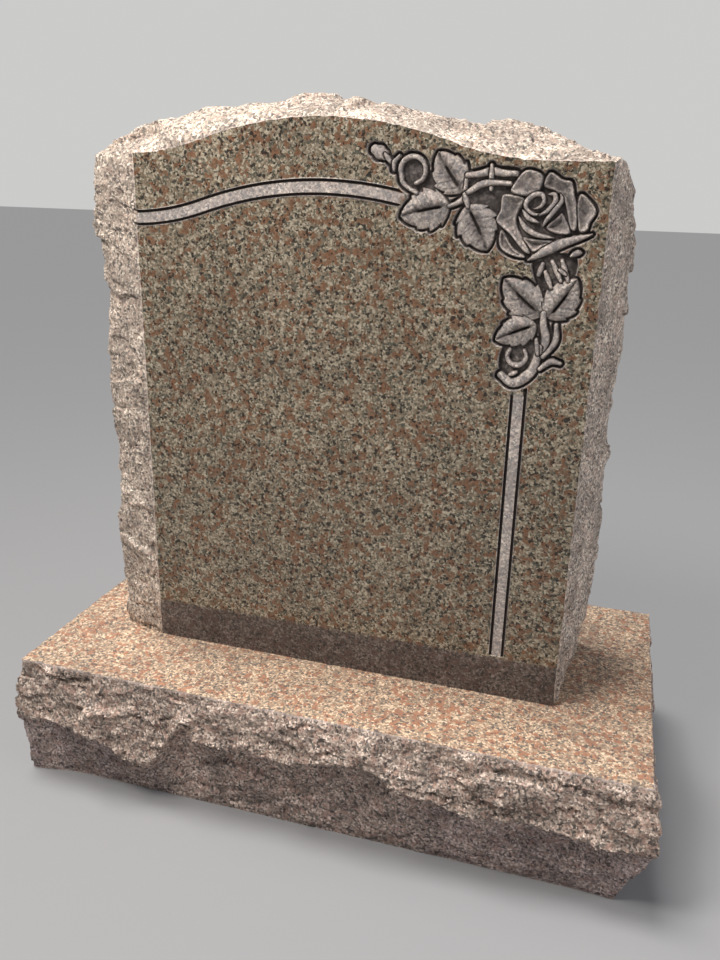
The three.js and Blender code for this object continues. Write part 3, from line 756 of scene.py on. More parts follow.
def face_mesh(ring, sizes):
    """Points and triangles of the face inside its ring, with depth, frost, and shadow paint with painted
    shade.
    """
    level, paint_and_shade, frosted, touched = spray_field(sizes)
    touched = touched.astype(float)
    inset, drop = field_points(level, sizes.ground_depth / MM)
    spray = np.stack([FACE_RIGHT - inset * MM, SHOULDER - drop * MM], axis=1)
    lines = border_points(sizes)

    def field_at(field, points):
        return sampled(field, (FACE_RIGHT - points[:, 0]) / MM, (SHOULDER - points[:, 1]) / MM)

    lines = lines[field_at(touched, lines) < 0.01]
    near_border = np.abs(border_offset(spray[:, 0], spray[:, 1], sizes))
    free = field_at(touched, spray) < 0.01
    width = sizes.border_strip / 2 + sizes.border_line
    spray = spray[~(free & (near_border < width + MM))]
    points = np.concatenate([spray, lines])
    inside = (points[:, 0] > FACE_LEFT) & (points[:, 0] < FACE_RIGHT)
    points = points[inside & (points[:, 1] < top_edge(points[:, 0]))]
    points = points[ring_distance(points, ring) > EDGE_CLEAR]
    every = np.concatenate([ring, points])
    found = delaunay_2d_cdt(
        [Vector((float(x), float(z))) for x, z in every], [], [list(range(len(ring)))], 1, 1e-7)
    if len(found[0]) != len(every):
        raise RuntimeError("the face's points ran together")
    order = [origin[0] for origin in found[3]]
    triangles = np.array([[order[i] for i in face] for face in found[2]])
    depth = field_at(level, every) * sizes.ground_depth
    cut, frost, line_paint = border_profile(border_offset(every[:, 0], every[:, 1], sizes), sizes)
    bare = field_at(touched, every) < 0.5
    depth = np.where(bare, cut, depth)
    frost = np.where(bare, frost, field_at(frosted, every))
    # Shadow paint in the cut lines, and painted shade in the carving's hollows.
    painted_and_shaded = np.where(bare, line_paint, field_at(paint_and_shade, every))
    return every, triangles, depth, frost, painted_and_shaded


# Making a stone's mesh


def stone_mesh(name, points, faces, values):
    """A closed mesh with its values on points and faces."""
    mesh = bpy.data.meshes.new(name)
    mesh.from_pydata(points.tolist(), [], faces)
    mesh.update()
    for key, (domain, data) in values.items():
        kind, field = ("FLOAT_VECTOR", "vector") if key == "out" else ("FLOAT", "value")
        attribute = mesh.attributes.new(key, kind, domain)
        attribute.data.foreach_set(field, np.asarray(data, np.float32).ravel())
    mesh.polygons.foreach_set("use_smooth", np.ones(len(mesh.polygons), bool))
    return mesh


def tablet_mesh(rock, sizes):
    """The whole tablet: broken strip, carved face, plain back and foot."""
    marks = np.array(border_marks(sizes))
    start = float(top_edge(FACE_LEFT)) - sizes.border_drop
    strip, outs, masks = tablet_strip(rock, sizes, list(start + marks))
    columns, rows = strip.shape[0], strip.shape[1] - 1
    width = rows + 1
    ring_ids = np.arange(columns) * width
    ring = strip[:, 0][:, [0, 2]]
    every, triangles, depth, frost, paint_and_shade = face_mesh(ring, sizes)
    count = columns * width
    extra = len(every) - columns
    ids = np.concatenate([ring_ids, count + np.arange(extra)])
    inner = np.stack(
        [every[columns:, 0], TABLET_LOW.y + depth[columns:], every[columns:, 1]], axis=1)
    points = np.concatenate([strip.reshape(-1, 3), inner])
    points[ring_ids, 1] += depth[:columns]
    quads = strip_faces(columns, rows, False)
    back = ring_ids + rows
    first, last = np.arange(width), ring_ids[-1] + np.arange(width)
    foot = np.concatenate([first, last[::-1]])
    faces = quads.tolist() + ids[triangles].tolist()
    faces += [back.tolist(), foot.tolist()]

    def at_points(values):
        spread = np.zeros(len(points))
        spread[ids] = values
        return spread

    values = {
        "rock": ("POINT", np.concatenate([masks.ravel(), np.zeros(extra)])),
        "out": ("POINT", np.concatenate([outs.reshape(-1, 3), np.zeros((extra, 3))])),
        "frost": ("POINT", at_points(frost)),
        # Shadow paint in the cut lines, with painted shade in the carving's hollows.
        "paint_and_shade": ("POINT", at_points(paint_and_shade)),
        "broken": ("FACE", np.arange(len(faces)) < len(quads)),
    }
    return stone_mesh("tablet_stone", points, faces, values)


# The base's lip and the cleft below it
LIP_WOBBLES = ((40, 3.5 * MM), (4, 1.8 * MM))  # passes of averaging, and how far the lip swings
LIP_STAND = 1.6 * MM  # how far the lip's own edge stands out
LIP_HEIGHT = 6 * MM  # and over which height
LIP_FALL = 5 * MM  # how soon the stone falls back below it
CLEFT_START = 8 * MM  # how far below it the cleft is at its smoothest
CLEFT_SHARES = [(-355, 1), (-215, 1), (-165, 0.3), (90, 0.35), (160, 0.9), (355, 1)]  # front, x in mm
CLEFT_ELSEWHERE = 0.6  # and on the other three sides
CLEFT_CALM = 0.62  # how much less the smoothest cleft is broken
CORNER_TURN = 0.75  # the lip is weaker round a corner, where the sides turn by 0.7


def undercut(points, aims, rock):
    """Break the base away under its lip, which is where its sides stand out furthest.

    The second value is how smooth the cleft below the lip is, and how much painted shade it gets, up to 1.
    """
    top = points[:, :1]
    reach = rolled(((points - top) * aims[:, None, :]).sum(axis=2), 6)
    lip = rolled(points[np.arange(len(points)), reach.argmax(axis=1), 2], 5)
    rng = np.random.default_rng(5)
    for passes, size in LIP_WOBBLES:
        uneven = rolled(rng.uniform(-1, 1, len(lip)), passes)
        lip += size * uneven / np.abs(uneven).max()
    turned = np.abs(aims[:, :2]).min(axis=1)
    share = rolled(1 - turned / CORNER_TURN, 30)
    below = lip[:, None] - points[:, :, 2]
    sink = (1 - np.exp(-np.maximum(below, 0) / LIP_FALL)) * (1 - 0.6 * below / lip[:, None])
    stand = np.exp(-((below / LIP_HEIGHT) ** 2)) * LIP_STAND
    move = (stand - rock.undercut * np.where(below > 0, sink, 0)) * share[:, None]
    x, y = top[:, 0, 0], top[:, 0, 1]
    smooth_share = np.interp(x / MM, *zip(*CLEFT_SHARES))
    smooth_share = rolled(np.where(y < y.min() + MM, smooth_share, CLEFT_ELSEWHERE), 20)
    shaded_cleft = np.clip(below / CLEFT_START, 0, 1) * smooth_share[:, None]
    return points + move[:, :, None] * aims[:, None, :], shaded_cleft


BASE_CORE = 40 * MM  # the base's rays start this far inside its top's edges
BASE_SHARES = np.linspace(0.015, 1, 56)  # and at these shares of its height, from the top down
BASE_FADE = 1.6  # its breaks fade in over the tablet's distance times this
FOOT_FADE = 0.3  # share of that distance that its foot is taken to have beyond it


def base_mesh(rock):
    """The whole base: four broken sides, a flat top and a flat underside."""
    tree = solid_tree("base")
    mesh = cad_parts["base"].data
    top = np.array([v.co for v in mesh.vertices if v.co.z > BASE_HIGH.z - 1e-5])
    x0, y0 = top[:, 0].min(), top[:, 1].min()
    x1, y1 = top[:, 0].max(), top[:, 1].max()
    path = []
    corners = [(x0, y0), (x1, y0), (x1, y1), (x0, y1)]
    for a, b in zip(corners, corners[1:] + corners[:1]):
        path += resampled([a, b], step=rock.column_step)[0][:-1].tolist()
    path = np.array(path)
    inner = np.clip(path, np.array(corners[0]) + BASE_CORE, np.array(corners[2]) - BASE_CORE)
    height = BASE_HIGH.z - BASE_LOW.z
    rows = rock.base_rows
    uneven = wobble(len(path), rock.edge_wobble, 8)
    points, aims, masks = [], [], []
    for k, (edge, start) in enumerate(zip(path, inner)):
        aim = (edge - start) / np.linalg.norm(edge - start)
        profile = [(*(edge + aim * uneven[k]), BASE_HIGH.z)]
        for share in BASE_SHARES:
            z = BASE_HIGH.z - min(share * height, height - NUDGE)
            hit = tree.ray_cast(Vector((start[0], start[1], z)), Vector((aim[0], aim[1], 0)))[0]
            if hit is None:
                raise RuntimeError(f"no stone at column {k}, height {z:.3f}")
            profile.append((hit.x, hit.y, BASE_HIGH.z - share * height))
        column, at, length = resampled(profile, rows)
        points.append(column)
        aims.append((aim[0], aim[1], 0))
        fade = BASE_FADE * rock.edge_fade
        masks.append(np.clip(np.minimum(at, (length - at) + FOOT_FADE * fade) / fade, 0, 1))
    points, shaded_cleft = undercut(np.array(points), np.array(aims), rock)
    outs = grid_normals(points, np.array(aims), True)
    outs[:, -1, 2] = 0
    columns, width = len(path), rows + 1
    quads = strip_faces(columns, rows, True)
    faces = [q[::-1].tolist() for q in quads]
    faces.append((np.arange(columns) * width).tolist())
    faces.append((np.arange(columns) * width + rows)[::-1].tolist())
    values = {
        "rock": ("POINT", (np.array(masks) * (1 - CLEFT_CALM * shaded_cleft)).ravel()),
        # the share under the lip that is smoother and darkened with painted shade
        "shaded_cleft": ("POINT", shaded_cleft.ravel()),
        "out": ("POINT", outs.reshape(-1, 3)),
        "broken": ("FACE", np.arange(len(faces)) < len(quads)),
    }
    return stone_mesh("base_stone", points.reshape(-1, 3), faces, values)


# Node trees


def opaque(colour):
    """A colour for a node's socket."""
    return (*colour, 1)


class Tree:
    """Small helpers for building a node tree."""

    def __init__(self, tree):
        self.tree = tree

    def sockets(self, in_out, kinds):
        """Name the group's inputs or outputs."""
        for name, kind in kinds.items():
            self.tree.interface.new_socket(name, in_out=in_out, socket_type=f"NodeSocket{kind}")

    def node(self, kind, **settings):
        """A node with its settings."""
        made = self.tree.nodes.new(kind)
        for key, value in settings.items():
            setattr(made, key, value)
        return made

    def link(self, a, b):
        """Join an output to an input."""
        self.tree.links.new(a, b)

    def feed(self, socket, value):
        """Give an input another node's output, or a value of its own."""
        if isinstance(value, bpy.types.NodeSocket):
            self.link(value, socket)
        else:
            socket.default_value = value

    def maths(self, operation, *values, clamp=False):
        """A sum, a product or a comparison of numbers."""
        made = self.node("ShaderNodeMath", operation=operation, use_clamp=clamp)
        for socket, value in zip(made.inputs, values):
            self.feed(socket, value)
        return made.outputs[0]

    def vector(self, operation, *values):
        """The same for vectors and colours."""
        made = self.node("ShaderNodeVectorMath", operation=operation)
        sockets = [made.inputs["Scale"] if operation == "SCALE" and k == 1 else made.inputs[k]
                   for k in range(len(values))]
        for socket, value in zip(sockets, values):
            self.feed(socket, value)
        return made.outputs["Value" if operation == "DOT_PRODUCT" else "Vector"]

    def swing(self, value, amount):
        """A value from 0 to 1, made to swing about zero."""
        return self.maths("MULTIPLY", self.maths("SUBTRACT", value, 0.5), amount)

    def sway(self, value, amount):
        """The same for each part of a vector."""
        return self.vector("SCALE", self.vector("SUBTRACT", value, (0.5, 0.5, 0.5)), amount)

    def rest(self, value, clamp=False):
        """What a value lacks of one."""
        return self.maths("SUBTRACT", 1.0, value, clamp=clamp)

    def mixed(self, share, a, b, kind="RGBA"):
        """A mix of two colours or, with the kind FLOAT, of two numbers."""
        made = self.node("ShaderNodeMix", data_type=kind)
        first, result = {"FLOAT": (2, 0), "RGBA": (6, 2)}[kind]
        for k, value in ((0, share), (first, a), (first + 1, b)):
            self.feed(made.inputs[k], value)
        return made.outputs[result]

    def noise(self, place, scale, detail=2.0, roughness=0.5):
        """A noise texture's outputs."""
        made = self.node("ShaderNodeTexNoise")
        self.link(place, made.inputs["Vector"])
        for name, value in (("Scale", scale), ("Detail", detail), ("Roughness", roughness)):
            made.inputs[name].default_value = value
        return made.outputs

    def cells(self, place, scale, feature="F1"):
        """A texture of cells."""
        made = self.node("ShaderNodeTexVoronoi", voronoi_dimensions="3D", feature=feature)
        self.link(place, made.inputs["Vector"])
        self.feed(made.inputs["Scale"], scale)
        return made


# Geometry Nodes: how a pitched side breaks

BREAKS = ("Chip", "Flake", "Crystal")  # from the largest to the smallest
SEED_SHIFT = (3.7, 5.3, 2.9)
LEDGE_SLOPE = (0.16, 0.16, -1.0)  # the way down across the ledges


def breakage_tree():
    """Moves a stone's rough sides in and out as flat, leaning breaks of three sizes and ledges."""
    t = Tree(bpy.data.node_groups.new("Pitched Stone", "GeometryNodeTree"))
    sizes = [f"{name} {what}" for name in BREAKS for what in ("Size", "Tilt")]
    numbers = [*sizes, "Ledge Size", "Ledge Depth", "Stretch", "Depth", "Seed"]
    t.sockets("INPUT", {"Geometry": "Geometry", **dict.fromkeys(numbers, "Float"), "Material": "Material"})
    t.sockets("OUTPUT", {"Geometry": "Geometry"})
    given = t.node("NodeGroupInput").outputs
    place = t.node("GeometryNodeInputPosition").outputs[0]
    shift = t.vector("SCALE", SEED_SHIFT, given["Seed"])
    shifted = t.vector("ADD", place, shift)
    warp = t.noise(shifted, 38, 3)
    spread = t.node("ShaderNodeCombineXYZ")
    for socket, value in zip(spread.inputs, (given["Stretch"], given["Stretch"], 1)):
        t.feed(socket, value)
    flat = t.vector("MULTIPLY", t.vector("ADD", place, t.sway(warp["Color"], 0.02)), spread.outputs[0])
    coords = t.vector("ADD", flat, shift)

    parts = []
    for name in BREAKS:
        cells = t.cells(coords, t.maths("DIVIDE", 1.0, given[f"{name} Size"]), "SMOOTH_F1")
        cells.inputs["Smoothness"].default_value = 0.12
        lean = t.vector("SUBTRACT", cells.outputs["Color"], (0.5, 0.5, 0.5))
        reach = t.vector("SUBTRACT", coords, cells.outputs["Position"])
        step = t.maths("MULTIPLY", t.vector("DOT_PRODUCT", reach, lean), given[f"{name} Tilt"])
        parts.append(t.maths("MULTIPLY", step, 2.0))
    down = t.maths("DIVIDE", t.vector("DOT_PRODUCT", place, LEDGE_SLOPE), given["Ledge Size"])
    bend = t.noise(shifted, 9, 4, 0.6)["Fac"]
    steps = t.maths("ADD", down, t.maths("MULTIPLY", bend, 4.5))
    saw = t.maths("SUBTRACT", t.maths("FRACT", steps), 0.55)
    coming = t.maths("MULTIPLY", t.maths("SUBTRACT", warp["Fac"], 0.44), 9.0, clamp=True)
    parts.append(t.maths("MULTIPLY", t.maths("MULTIPLY", saw, given["Ledge Depth"]), coming))
    parts.append(t.swing(t.noise(coords, 170, 4, 0.65)["Fac"], 0.004))
    total = parts[0]
    for part in parts[1:]:
        total = t.maths("ADD", total, part)

    def kept(name, kind):
        made = t.node("GeometryNodeInputNamedAttribute", data_type=kind)
        made.inputs["Name"].default_value = name
        return made.outputs["Attribute"]

    amount = t.maths("MULTIPLY", t.maths("MULTIPLY", total, given["Depth"]), kept("rock", "FLOAT"))
    moved = t.node("GeometryNodeSetPosition")
    t.link(given["Geometry"], moved.inputs["Geometry"])
    t.link(t.vector("SCALE", kept("out", "FLOAT_VECTOR"), amount), moved.inputs["Offset"])
    real = t.node("GeometryNodeRealizeInstances")
    t.link(moved.outputs[0], real.inputs[0])
    paint = t.node("GeometryNodeSetMaterial")
    t.link(real.outputs[0], paint.inputs["Geometry"])
    t.link(given["Material"], paint.inputs["Material"])
    t.link(paint.outputs[0], t.node("NodeGroupOutput").inputs[0])
    return t.tree


def broken_stone(name, mesh, material, rock, stretch, depth, ledge, seed):
    """The mesh with its rough sides broken, as a plain object."""
    blank = bpy.data.objects.new(f"{name}_blank", mesh)
    bpy.context.scene.collection.objects.link(blank)
    modifier = blank.modifiers.new("Pitched Stone", "NODES")
    tree = bpy.data.node_groups.get("Pitched Stone") or breakage_tree()
    modifier.node_group = tree
    values = {
        "Chip Size": rock.chip_size,
        "Chip Tilt": rock.chip_tilt,
        "Flake Size": rock.flake_size,
        "Flake Tilt": rock.flake_tilt,
        "Crystal Size": rock.crystal_size,
        "Crystal Tilt": rock.crystal_tilt,
        "Ledge Size": rock.ledge_size,
        "Ledge Depth": ledge,
        "Stretch": stretch,
        "Depth": depth,
        "Seed": seed,
        "Material": material,
    }
    for item in tree.interface.items_tree:
        if item.in_out == "INPUT" and item.name in values:
            modifier[item.identifier] = values[item.name]
    bpy.context.view_layer.update()
    graph = bpy.context.evaluated_depsgraph_get()
    made = bpy.data.meshes.new_from_object(blank.evaluated_get(graph), depsgraph=graph)
    bpy.data.objects.remove(blank)
    made.name = name
    made.set_sharp_from_angle(angle=math.radians(30))
    piece = bpy.data.objects.new(name, made)
    bpy.context.scene.collection.objects.link(piece)
    return piece


# Materials

BUMP_DEPTH = 2.2 * MM


def granite_group(colours):
    """The crystals of the stone: colour, which are quartz, relief, and the colour without rust."""
    t = Tree(bpy.data.node_groups.new("Granite Crystals", "ShaderNodeTree"))
    t.sockets("INPUT", {"Vector": "Vector", "Pale Share": "Float", "Saturation": "Float"})
    t.sockets("OUTPUT", {"Color": "Color", "Quartz": "Float", "Relief": "Float", "Plain": "Color"})
    given = t.node("NodeGroupInput").outputs
    put = t.node("NodeGroupOutput").inputs
    stir = t.noise(given["Vector"], 380)
    coords = t.vector("ADD", given["Vector"], t.sway(stir["Color"], 0.0036))

    def crystals(scale, shift):
        """Three random numbers for each crystal."""
        made = t.cells(t.vector("ADD", coords, shift), scale)
        parts = t.node("ShaderNodeSeparateColor")
        t.link(made.outputs["Color"], parts.inputs[0])
        return parts.outputs

    small = crystals(500, (0, 0, 0))
    middle = crystals(320, (1.3, 0.7, 2.1))
    large = crystals(170, (4.1, 2.2, 0.4))
    ground, pale, pink, grey, dark = (
        opaque(c) for c in (colours.ground, colours.pale, colours.pink, colours.grey, colours.dark))

    quartz = t.maths("GREATER_THAN", small[0], t.rest(given["Pale Share"]))
    plain = t.mixed(t.maths("MULTIPLY", small[1], 0.55), ground, pale)
    plain = t.mixed(quartz, plain, pale)
    plain = t.mixed(t.maths("LESS_THAN", small[0], 0.22), plain, grey)
    red = t.maths("GREATER_THAN", large[0], 0.7)
    patch = t.maths("MULTIPLY", red, t.maths("GREATER_THAN", middle[1], 0.18))
    patch = t.maths("MULTIPLY", patch, t.maths("ADD", 0.62, t.maths("MULTIPLY", small[0], 0.38)))
    rust = t.mixed(t.maths("MULTIPLY", middle[2], 0.5), pink, ground)
    rusty = t.mixed(patch, plain, rust)
    flakes = t.maths("MULTIPLY", t.maths("GREATER_THAN", middle[0], 0.94),
                     t.maths("LESS_THAN", small[2], 0.85))
    specks = t.maths("GREATER_THAN", small[2], 0.91)
    mica = t.maths("MULTIPLY", t.maths("MAXIMUM", flakes, specks), 0.88)
    cloud = t.noise(given["Vector"], 17, 3)
    uneven = t.maths("ADD", t.swing(stir["Fac"], 1.3), t.swing(cloud["Fac"], 0.5))
    brightness = t.maths("ADD", 1.0, uneven)
    for stone, name in ((rusty, "Color"), (plain, "Plain")):
        shade = t.node("ShaderNodeHueSaturation")
        t.link(given["Saturation"], shade.inputs["Saturation"])
        t.link(brightness, shade.inputs["Value"])
        t.link(t.mixed(mica, stone, dark), shade.inputs["Color"])
        t.link(shade.outputs[0], put[name])
    t.link(quartz, put["Quartz"])
    t.link(t.maths("ADD", t.maths("MULTIPLY", small[1], 0.6), t.maths("MULTIPLY", middle[1], 0.4)),
           put["Relief"])
    return t.tree


def mesh_value(t, name):
    """A value that the mesh keeps."""
    return t.node("ShaderNodeAttribute", attribute_type="GEOMETRY", attribute_name=name).outputs["Fac"]


def dressed(t, coords, crystals, look, colours):
    """The stone's colour under one way of dressing it."""
    contrast = t.node("ShaderNodeGamma")
    t.link(t.mixed(look["rust"], crystals["Plain"], crystals["Color"]), contrast.inputs["Color"])
    contrast.inputs["Gamma"].default_value = look["contrast"]
    shade = t.node("ShaderNodeHueSaturation")
    t.link(contrast.outputs[0], shade.inputs["Color"])
    shade.inputs["Saturation"].default_value = look["saturation"]
    tone = t.vector("MULTIPLY", shade.outputs[0], look["tint"])
    if look["clouds"]:
        cloud = t.noise(coords, 26)
        tone = t.vector("SCALE", tone, t.maths("ADD", 1.0, t.swing(cloud["Fac"], look["clouds"])))
    return t.mixed(look["scatter"], tone, opaque(colours.broken))


def foot_band(t, coords, top):
    """1 on the frosted band along the foot of the face, with a worn upper edge."""
    parts = t.node("ShaderNodeSeparateXYZ")
    t.link(coords, parts.inputs[0])
    worn = t.maths("MULTIPLY", t.noise(coords, 210)["Fac"], 0.008)
    height = t.maths("ADD", parts.outputs["Z"], worn)
    return t.rest(t.maths("DIVIDE", t.maths("SUBTRACT", height, top), 0.004), clamp=True)


def mottled(t, coords, paint_and_shade):
    """The shadow paint and painted shade, uneven where they run thin."""
    rubbed = t.swing(t.noise(coords, 230, 3)["Fac"], 1.5)
    rubbed = t.maths("MULTIPLY", rubbed, t.maths("MULTIPLY", paint_and_shade, t.rest(paint_and_shade)))
    return t.maths("ADD", paint_and_shade, t.maths("MULTIPLY", rubbed, 3.0), clamp=True)


def granite_material(name, colours, finish):
    """Granite whose flat faces have one finish and whose broken faces another."""
    material = bpy.data.materials.new(name)
    material.use_nodes = True
    t = Tree(material.node_tree)
    shader = material.node_tree.nodes["Principled BSDF"].inputs
    coords = t.node("ShaderNodeTexCoord").outputs["Object"]
    group = t.node("ShaderNodeGroup")
    group.node_tree = bpy.data.node_groups.get("Granite Crystals") or granite_group(colours)
    t.link(coords, group.inputs["Vector"])
    group.inputs["Pale Share"].default_value = finish["pale_share"]
    group.inputs["Saturation"].default_value = finish["saturation"]
    crystals = group.outputs
    broken, frost = mesh_value(t, "broken"), mesh_value(t, "frost")

    flat = dressed(t, coords, crystals, finish["flat"], colours)
    rough = dressed(t, coords, crystals, finish["rough"], colours)
    frosted = t.mixed(0.5, rough, opaque(colours.frosted))
    gloss = finish["flat_roughness"]
    # The frosted band along the face's foot is rougher, and its darker, more purple look is painted shade.
    if finish["foot_band"]:
        band = foot_band(t, coords, finish["foot_band"])
        flat = t.mixed(band, flat, dressed(t, coords, crystals, finish["band"], colours))
        gloss = t.mixed(band, gloss, 0.6, "FLOAT")
    uneven = t.maths("MAXIMUM", broken, t.maths("MULTIPLY", frost, 0.25))
    # Under the base's lip the stone is less bumped, and its darker, more purple look is painted shade.
    if finish["shaded_cleft"]:
        shaded_cleft = mesh_value(t, "shaded_cleft")
        rough = t.mixed(shaded_cleft, rough, dressed(t, coords, crystals, finish["shaded_cleft"], colours))
        uneven = t.maths("MULTIPLY", uneven, t.rest(t.maths("MULTIPLY", shaded_cleft, 0.45)))

    tone = t.mixed(broken, t.mixed(frost, flat, frosted), rough)
    # A pale line along the edges of the broken faces: crushed stone at the arris, and also a painted
    # highlight.
    edge = t.rest(t.maths("MULTIPLY", mesh_value(t, "rock"), 3.4), clamp=True)
    bruise_and_highlight = t.maths("MULTIPLY", t.maths("MULTIPLY", edge, broken), 0.55)
    tone = t.mixed(bruise_and_highlight, tone, opaque(colours.broken))
    # Shadow paint in the cut lines and painted shade in the carving's hollows, both in the stain colour.
    paint_and_shade = mottled(t, coords, mesh_value(t, "paint_and_shade"))
    t.link(t.mixed(paint_and_shade, tone, opaque(colours.paint_and_shade)), shader["Base Color"])
    gloss = t.mixed(frost, gloss, 0.62, "FLOAT")
    gloss = t.mixed(broken, gloss, t.mixed(crystals["Quartz"], 0.72, 0.38, "FLOAT"), "FLOAT")
    t.link(t.mixed(paint_and_shade, gloss, 0.55, "FLOAT"), shader["Roughness"])
    grain = t.maths("MULTIPLY", t.noise(coords, 900, 3)["Fac"], 0.5)
    height = t.maths("ADD", crystals["Relief"], grain)
    uneven = t.maths("MAXIMUM", uneven, finish["flat_relief"])
    bump = t.node("ShaderNodeBump")
    bump.inputs["Distance"].default_value = BUMP_DEPTH
    t.link(t.maths("MULTIPLY", height, uneven), bump.inputs["Height"])
    t.link(bump.outputs[0], shader["Normal"])
    shader["Specular IOR Level"].default_value = 0.3
    return material


# Looks of the flat, rough, banded and cleft parts. contrast, saturation and tint change the crystals' own
# colour; the darker, more purple tint of the band and of the cleft is painted shade. scatter is the share
# of light that a crushed surface sends back, clouds is how uneven it is, and rust is how much of the red
# feldspar shows.
TABLET_FINISH = {
    "pale_share": 0.22,
    "saturation": 1.0,
    "flat": {"contrast": 1.08, "saturation": 1.0, "tint": (1.1, 1.1, 1.08),
             "scatter": 0.0, "clouds": 0, "rust": 1},
    "rough": {"contrast": 1.1, "saturation": 0.7, "tint": (2.6, 2.45, 2.4),
              "scatter": 0.12, "clouds": 1.8, "rust": 0.35},
    # The band's dark, purplish tint is painted shade on its frosted finish.
    "band": {"contrast": 1.25, "saturation": 0.8, "tint": (0.56, 0.53, 0.58),
             "scatter": 0.05, "clouds": 0.8, "rust": 0.8},
    "shaded_cleft": None,
    "flat_roughness": 0.16,
    "flat_relief": 0.0,
}
BASE_FINISH = {
    "pale_share": 0.24,
    "saturation": 1.1,
    "flat": {"contrast": 1.2, "saturation": 1.05, "tint": (2.05, 1.83, 1.77),
             "scatter": 0.12, "clouds": 0.6, "rust": 1},
    "rough": {"contrast": 1.2, "saturation": 0.75, "tint": (2.4, 2.2, 2.3),
              "scatter": 0.08, "clouds": 2.0, "rust": 0.55},
    # The cleft under the lip: its darker, more purple tint is painted shade.
    "shaded_cleft": {"contrast": 0.95, "saturation": 0.75, "tint": (1.35, 1.2, 1.36),
              "scatter": 0.04, "clouds": 1.4, "rust": 0.5},
    "flat_roughness": 0.5,
    "flat_relief": 0.06,
    "foot_band": 0,
}


# Operators


class HEADSTONE_OT_base(bpy.types.Operator):
    """Make the base: a block with a flat ground top and four broken sides"""

    bl_idname = "headstone.base"
    bl_label = "Base"

    def execute(self, context):
        scene = context.scene
        material = granite_material("base_granite", scene.granite_colours, BASE_FINISH)
        mesh = base_mesh(scene.rock_sizes)
        piece = broken_stone(
            "base_block", mesh, material, scene.rock_sizes, stretch=0.5, depth=0.7,
            ledge=6.5 * MM, seed=1.0)
        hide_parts("base")
        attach(piece, "root")
        return {"FINISHED"}


class HEADSTONE_OT_tablet(bpy.types.Operator):
    """Make the tablet: a polished, bordered and carved face between broken sides and top"""

    bl_idname = "headstone.tablet"
    bl_label = "Tablet"

    def execute(self, context):
        scene = context.scene
        band = FOOT + scene.carving_sizes.foot_margin
        material = granite_material(
            "tablet_granite", scene.granite_colours, {**TABLET_FINISH, "foot_band": band})
        mesh = tablet_mesh(scene.rock_sizes, scene.carving_sizes)
        piece = broken_stone(
            "tablet_slab", mesh, material, scene.rock_sizes, stretch=0.8, depth=0.5,
            ledge=4 * MM, seed=2.0)
        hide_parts("tablet")
        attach(piece, "root")
        return {"FINISHED"}


# Stage

FLOOR_REACH = 14.0
FLOOR_GREY = 0.31

# The view from in front, to the right of the headstone's middle, looking down
CAMERA_PLACE = (0.27075, -0.9063, 0.6953)
CAMERA_RIGHT = Vector((0.95576, 0.29327, 0.02287))
CAMERA_UP = Vector((-0.11875, 0.31352, 0.94213))
CAMERA_AHEAD = Vector((-0.26913, 0.90316, -0.33447))
CAMERA_LENS = 31.91  # for a frame 36 high
CAMERA_FRAME = 36


def pale_floor():
    """A plain floor that reaches past the picture."""
    reach = FLOOR_REACH
    corners = [(-reach, -reach, 0), (reach, -reach, 0), (reach, reach, 0), (-reach, reach, 0)]
    mesh = bpy.data.meshes.new("floor")
    mesh.from_pydata(corners, [], [(0, 1, 2, 3)])
    floor = bpy.data.objects.new("floor", mesh)
    bpy.context.scene.collection.objects.link(floor)
    paint = bpy.data.materials.new("pale_floor")
    paint.use_nodes = True
    shader = paint.node_tree.nodes["Principled BSDF"].inputs
    shader["Base Color"].default_value = opaque([FLOOR_GREY] * 3)
    shader["Roughness"].default_value = 0.9
    shader["Specular IOR Level"].default_value = 0.1
    mesh.materials.append(paint)
    return floor


def light(name, kind, energy, tint, towards, place=(0, 0, 0)):
    """A light that shines along a direction."""
    data = bpy.data.lights.new(name, kind)
    data.energy = energy
    data.color = tint
    lamp = bpy.data.objects.new(name, data)
    lamp.location = place
    lamp.rotation_euler = Vector(towards).to_track_quat("-Z", "Y").to_euler()
    bpy.context.scene.collection.objects.link(lamp)
    return data


def area_light(name, place, aim, size, energy, tint):
    """A round, soft lamp aimed at a point."""
    data = light(name, "AREA", energy, tint, Vector(aim) - Vector(place), place)
    data.shape = "DISK"
    data.size = size


def studio_world():
    """Soft light from all round, and a plain pale backdrop."""
    world = bpy.data.worlds.new("studio")
    world.use_nodes = True
    nodes, links = world.node_tree.nodes, world.node_tree.links
    lighting = nodes["Background"]
    seen = nodes.new("ShaderNodeBackground")
    for node, shade, strength in ((lighting, (0.93, 0.95, 1.0), 0.22), (seen, (0.8, 0.8, 0.79), 0.75)):
        node.inputs["Color"].default_value = opaque(shade)
        node.inputs["Strength"].default_value = strength
    both = nodes.new("ShaderNodeMixShader")
    links.new(nodes.new("ShaderNodeLightPath").outputs["Is Camera Ray"], both.inputs[0])
    links.new(lighting.outputs[0], both.inputs[1])
    links.new(seen.outputs[0], both.inputs[2])
    links.new(both.outputs[0], nodes["World Output"].inputs["Surface"])
    return world


def front_camera():
    """The camera, set up by its place and the three ways that it faces."""
    camera = bpy.data.cameras.new("camera")
    camera.sensor_fit = "VERTICAL"
    camera.sensor_width = CAMERA_FRAME
    camera.sensor_height = CAMERA_FRAME
    camera.lens = CAMERA_LENS
    view = bpy.data.objects.new("camera", camera)
    place = Matrix((CAMERA_RIGHT, CAMERA_UP, -CAMERA_AHEAD)).transposed().to_4x4()
    place.translation = CAMERA_PLACE
    view.matrix_world = place
    bpy.context.scene.collection.objects.link(view)
    return view


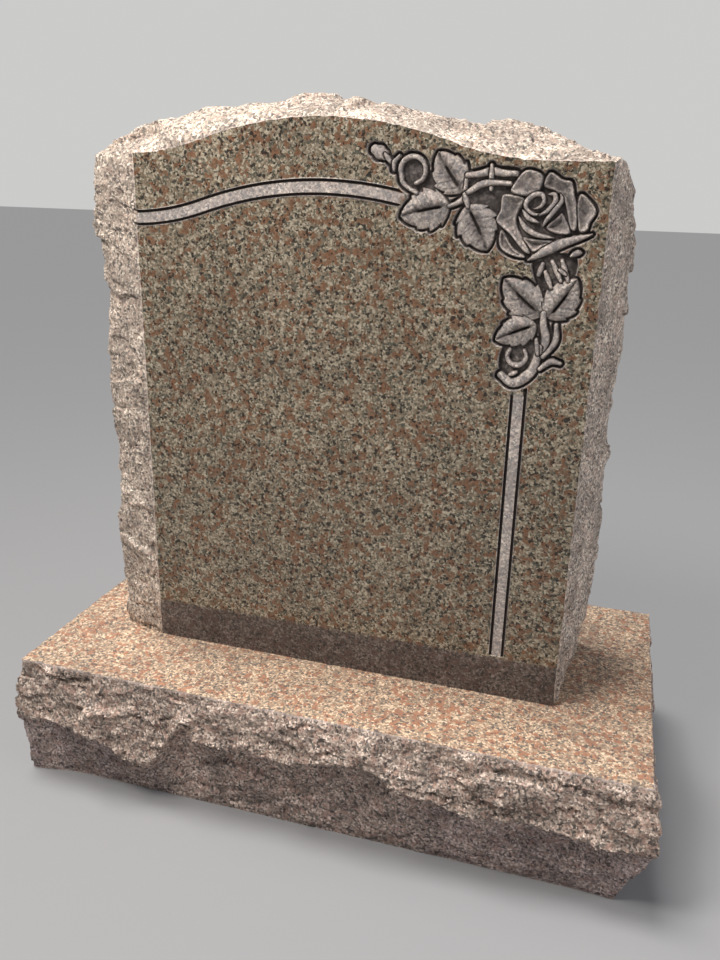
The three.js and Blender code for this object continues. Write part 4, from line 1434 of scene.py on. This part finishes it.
class HEADSTONE_OT_stage(bpy.types.Operator):
    """Make the floor, the soft lights and the camera"""

    bl_idname = "headstone.stage"
    bl_label = "Stage"

    def execute(self, context):
        scene = context.scene
        floor = pale_floor()
        area_light("key", place=(-0.42, -0.72, 1.58), aim=(0, 0, 0.5), size=0.45,
                   energy=16, tint=(1.0, 0.96, 0.93))
        area_light("fill", place=(2.1, -0.35, 1.3), aim=(0, 0, 0.4), size=1.4,
                   energy=13, tint=(0.88, 0.9, 1.0))
        ceiling = light("ceiling", "SUN", energy=2.7, tint=(1.0, 0.98, 0.97), towards=(0.27, -0.03, -1))
        ceiling.angle = math.radians(24)
        scene.world = studio_world()
        scene.view_settings.view_transform = "Standard"
        scene.camera = front_camera()
        return {"FINISHED"}


class HEADSTONE_PT_panel(bpy.types.Panel):
    """The headstone's pieces, in the 3D view's sidebar"""

    bl_label = "Headstone"
    bl_idname = "HEADSTONE_PT_panel"
    bl_space_type = "VIEW_3D"
    bl_region_type = "UI"
    bl_category = "Headstone"

    def draw(self, context):
        layout = self.layout
        for operator in OPERATORS:
            layout.operator(operator.bl_idname)
        for settings in (context.scene.rock_sizes, context.scene.carving_sizes,
                         context.scene.granite_colours):
            for name in settings.__annotations__:
                layout.prop(settings, name)


OPERATORS = (HEADSTONE_OT_stage, HEADSTONE_OT_base, HEADSTONE_OT_tablet)
CLASSES = (RockSizes, CarvingSizes, GraniteColours, *OPERATORS, HEADSTONE_PT_panel)


def register():
    for cls in CLASSES:
        bpy.utils.register_class(cls)
    bpy.types.Scene.rock_sizes = bpy.props.PointerProperty(type=RockSizes)
    bpy.types.Scene.carving_sizes = bpy.props.PointerProperty(type=CarvingSizes)
    bpy.types.Scene.granite_colours = bpy.props.PointerProperty(type=GraniteColours)


def unregister():
    del bpy.types.Scene.granite_colours
    del bpy.types.Scene.carving_sizes
    del bpy.types.Scene.rock_sizes
    for cls in reversed(CLASSES):
        bpy.utils.unregister_class(cls)


def main():
    register()
    bpy.ops.headstone.stage()
    bpy.ops.headstone.base()
    bpy.ops.headstone.tablet()


if __name__ == "__main__":
    main()
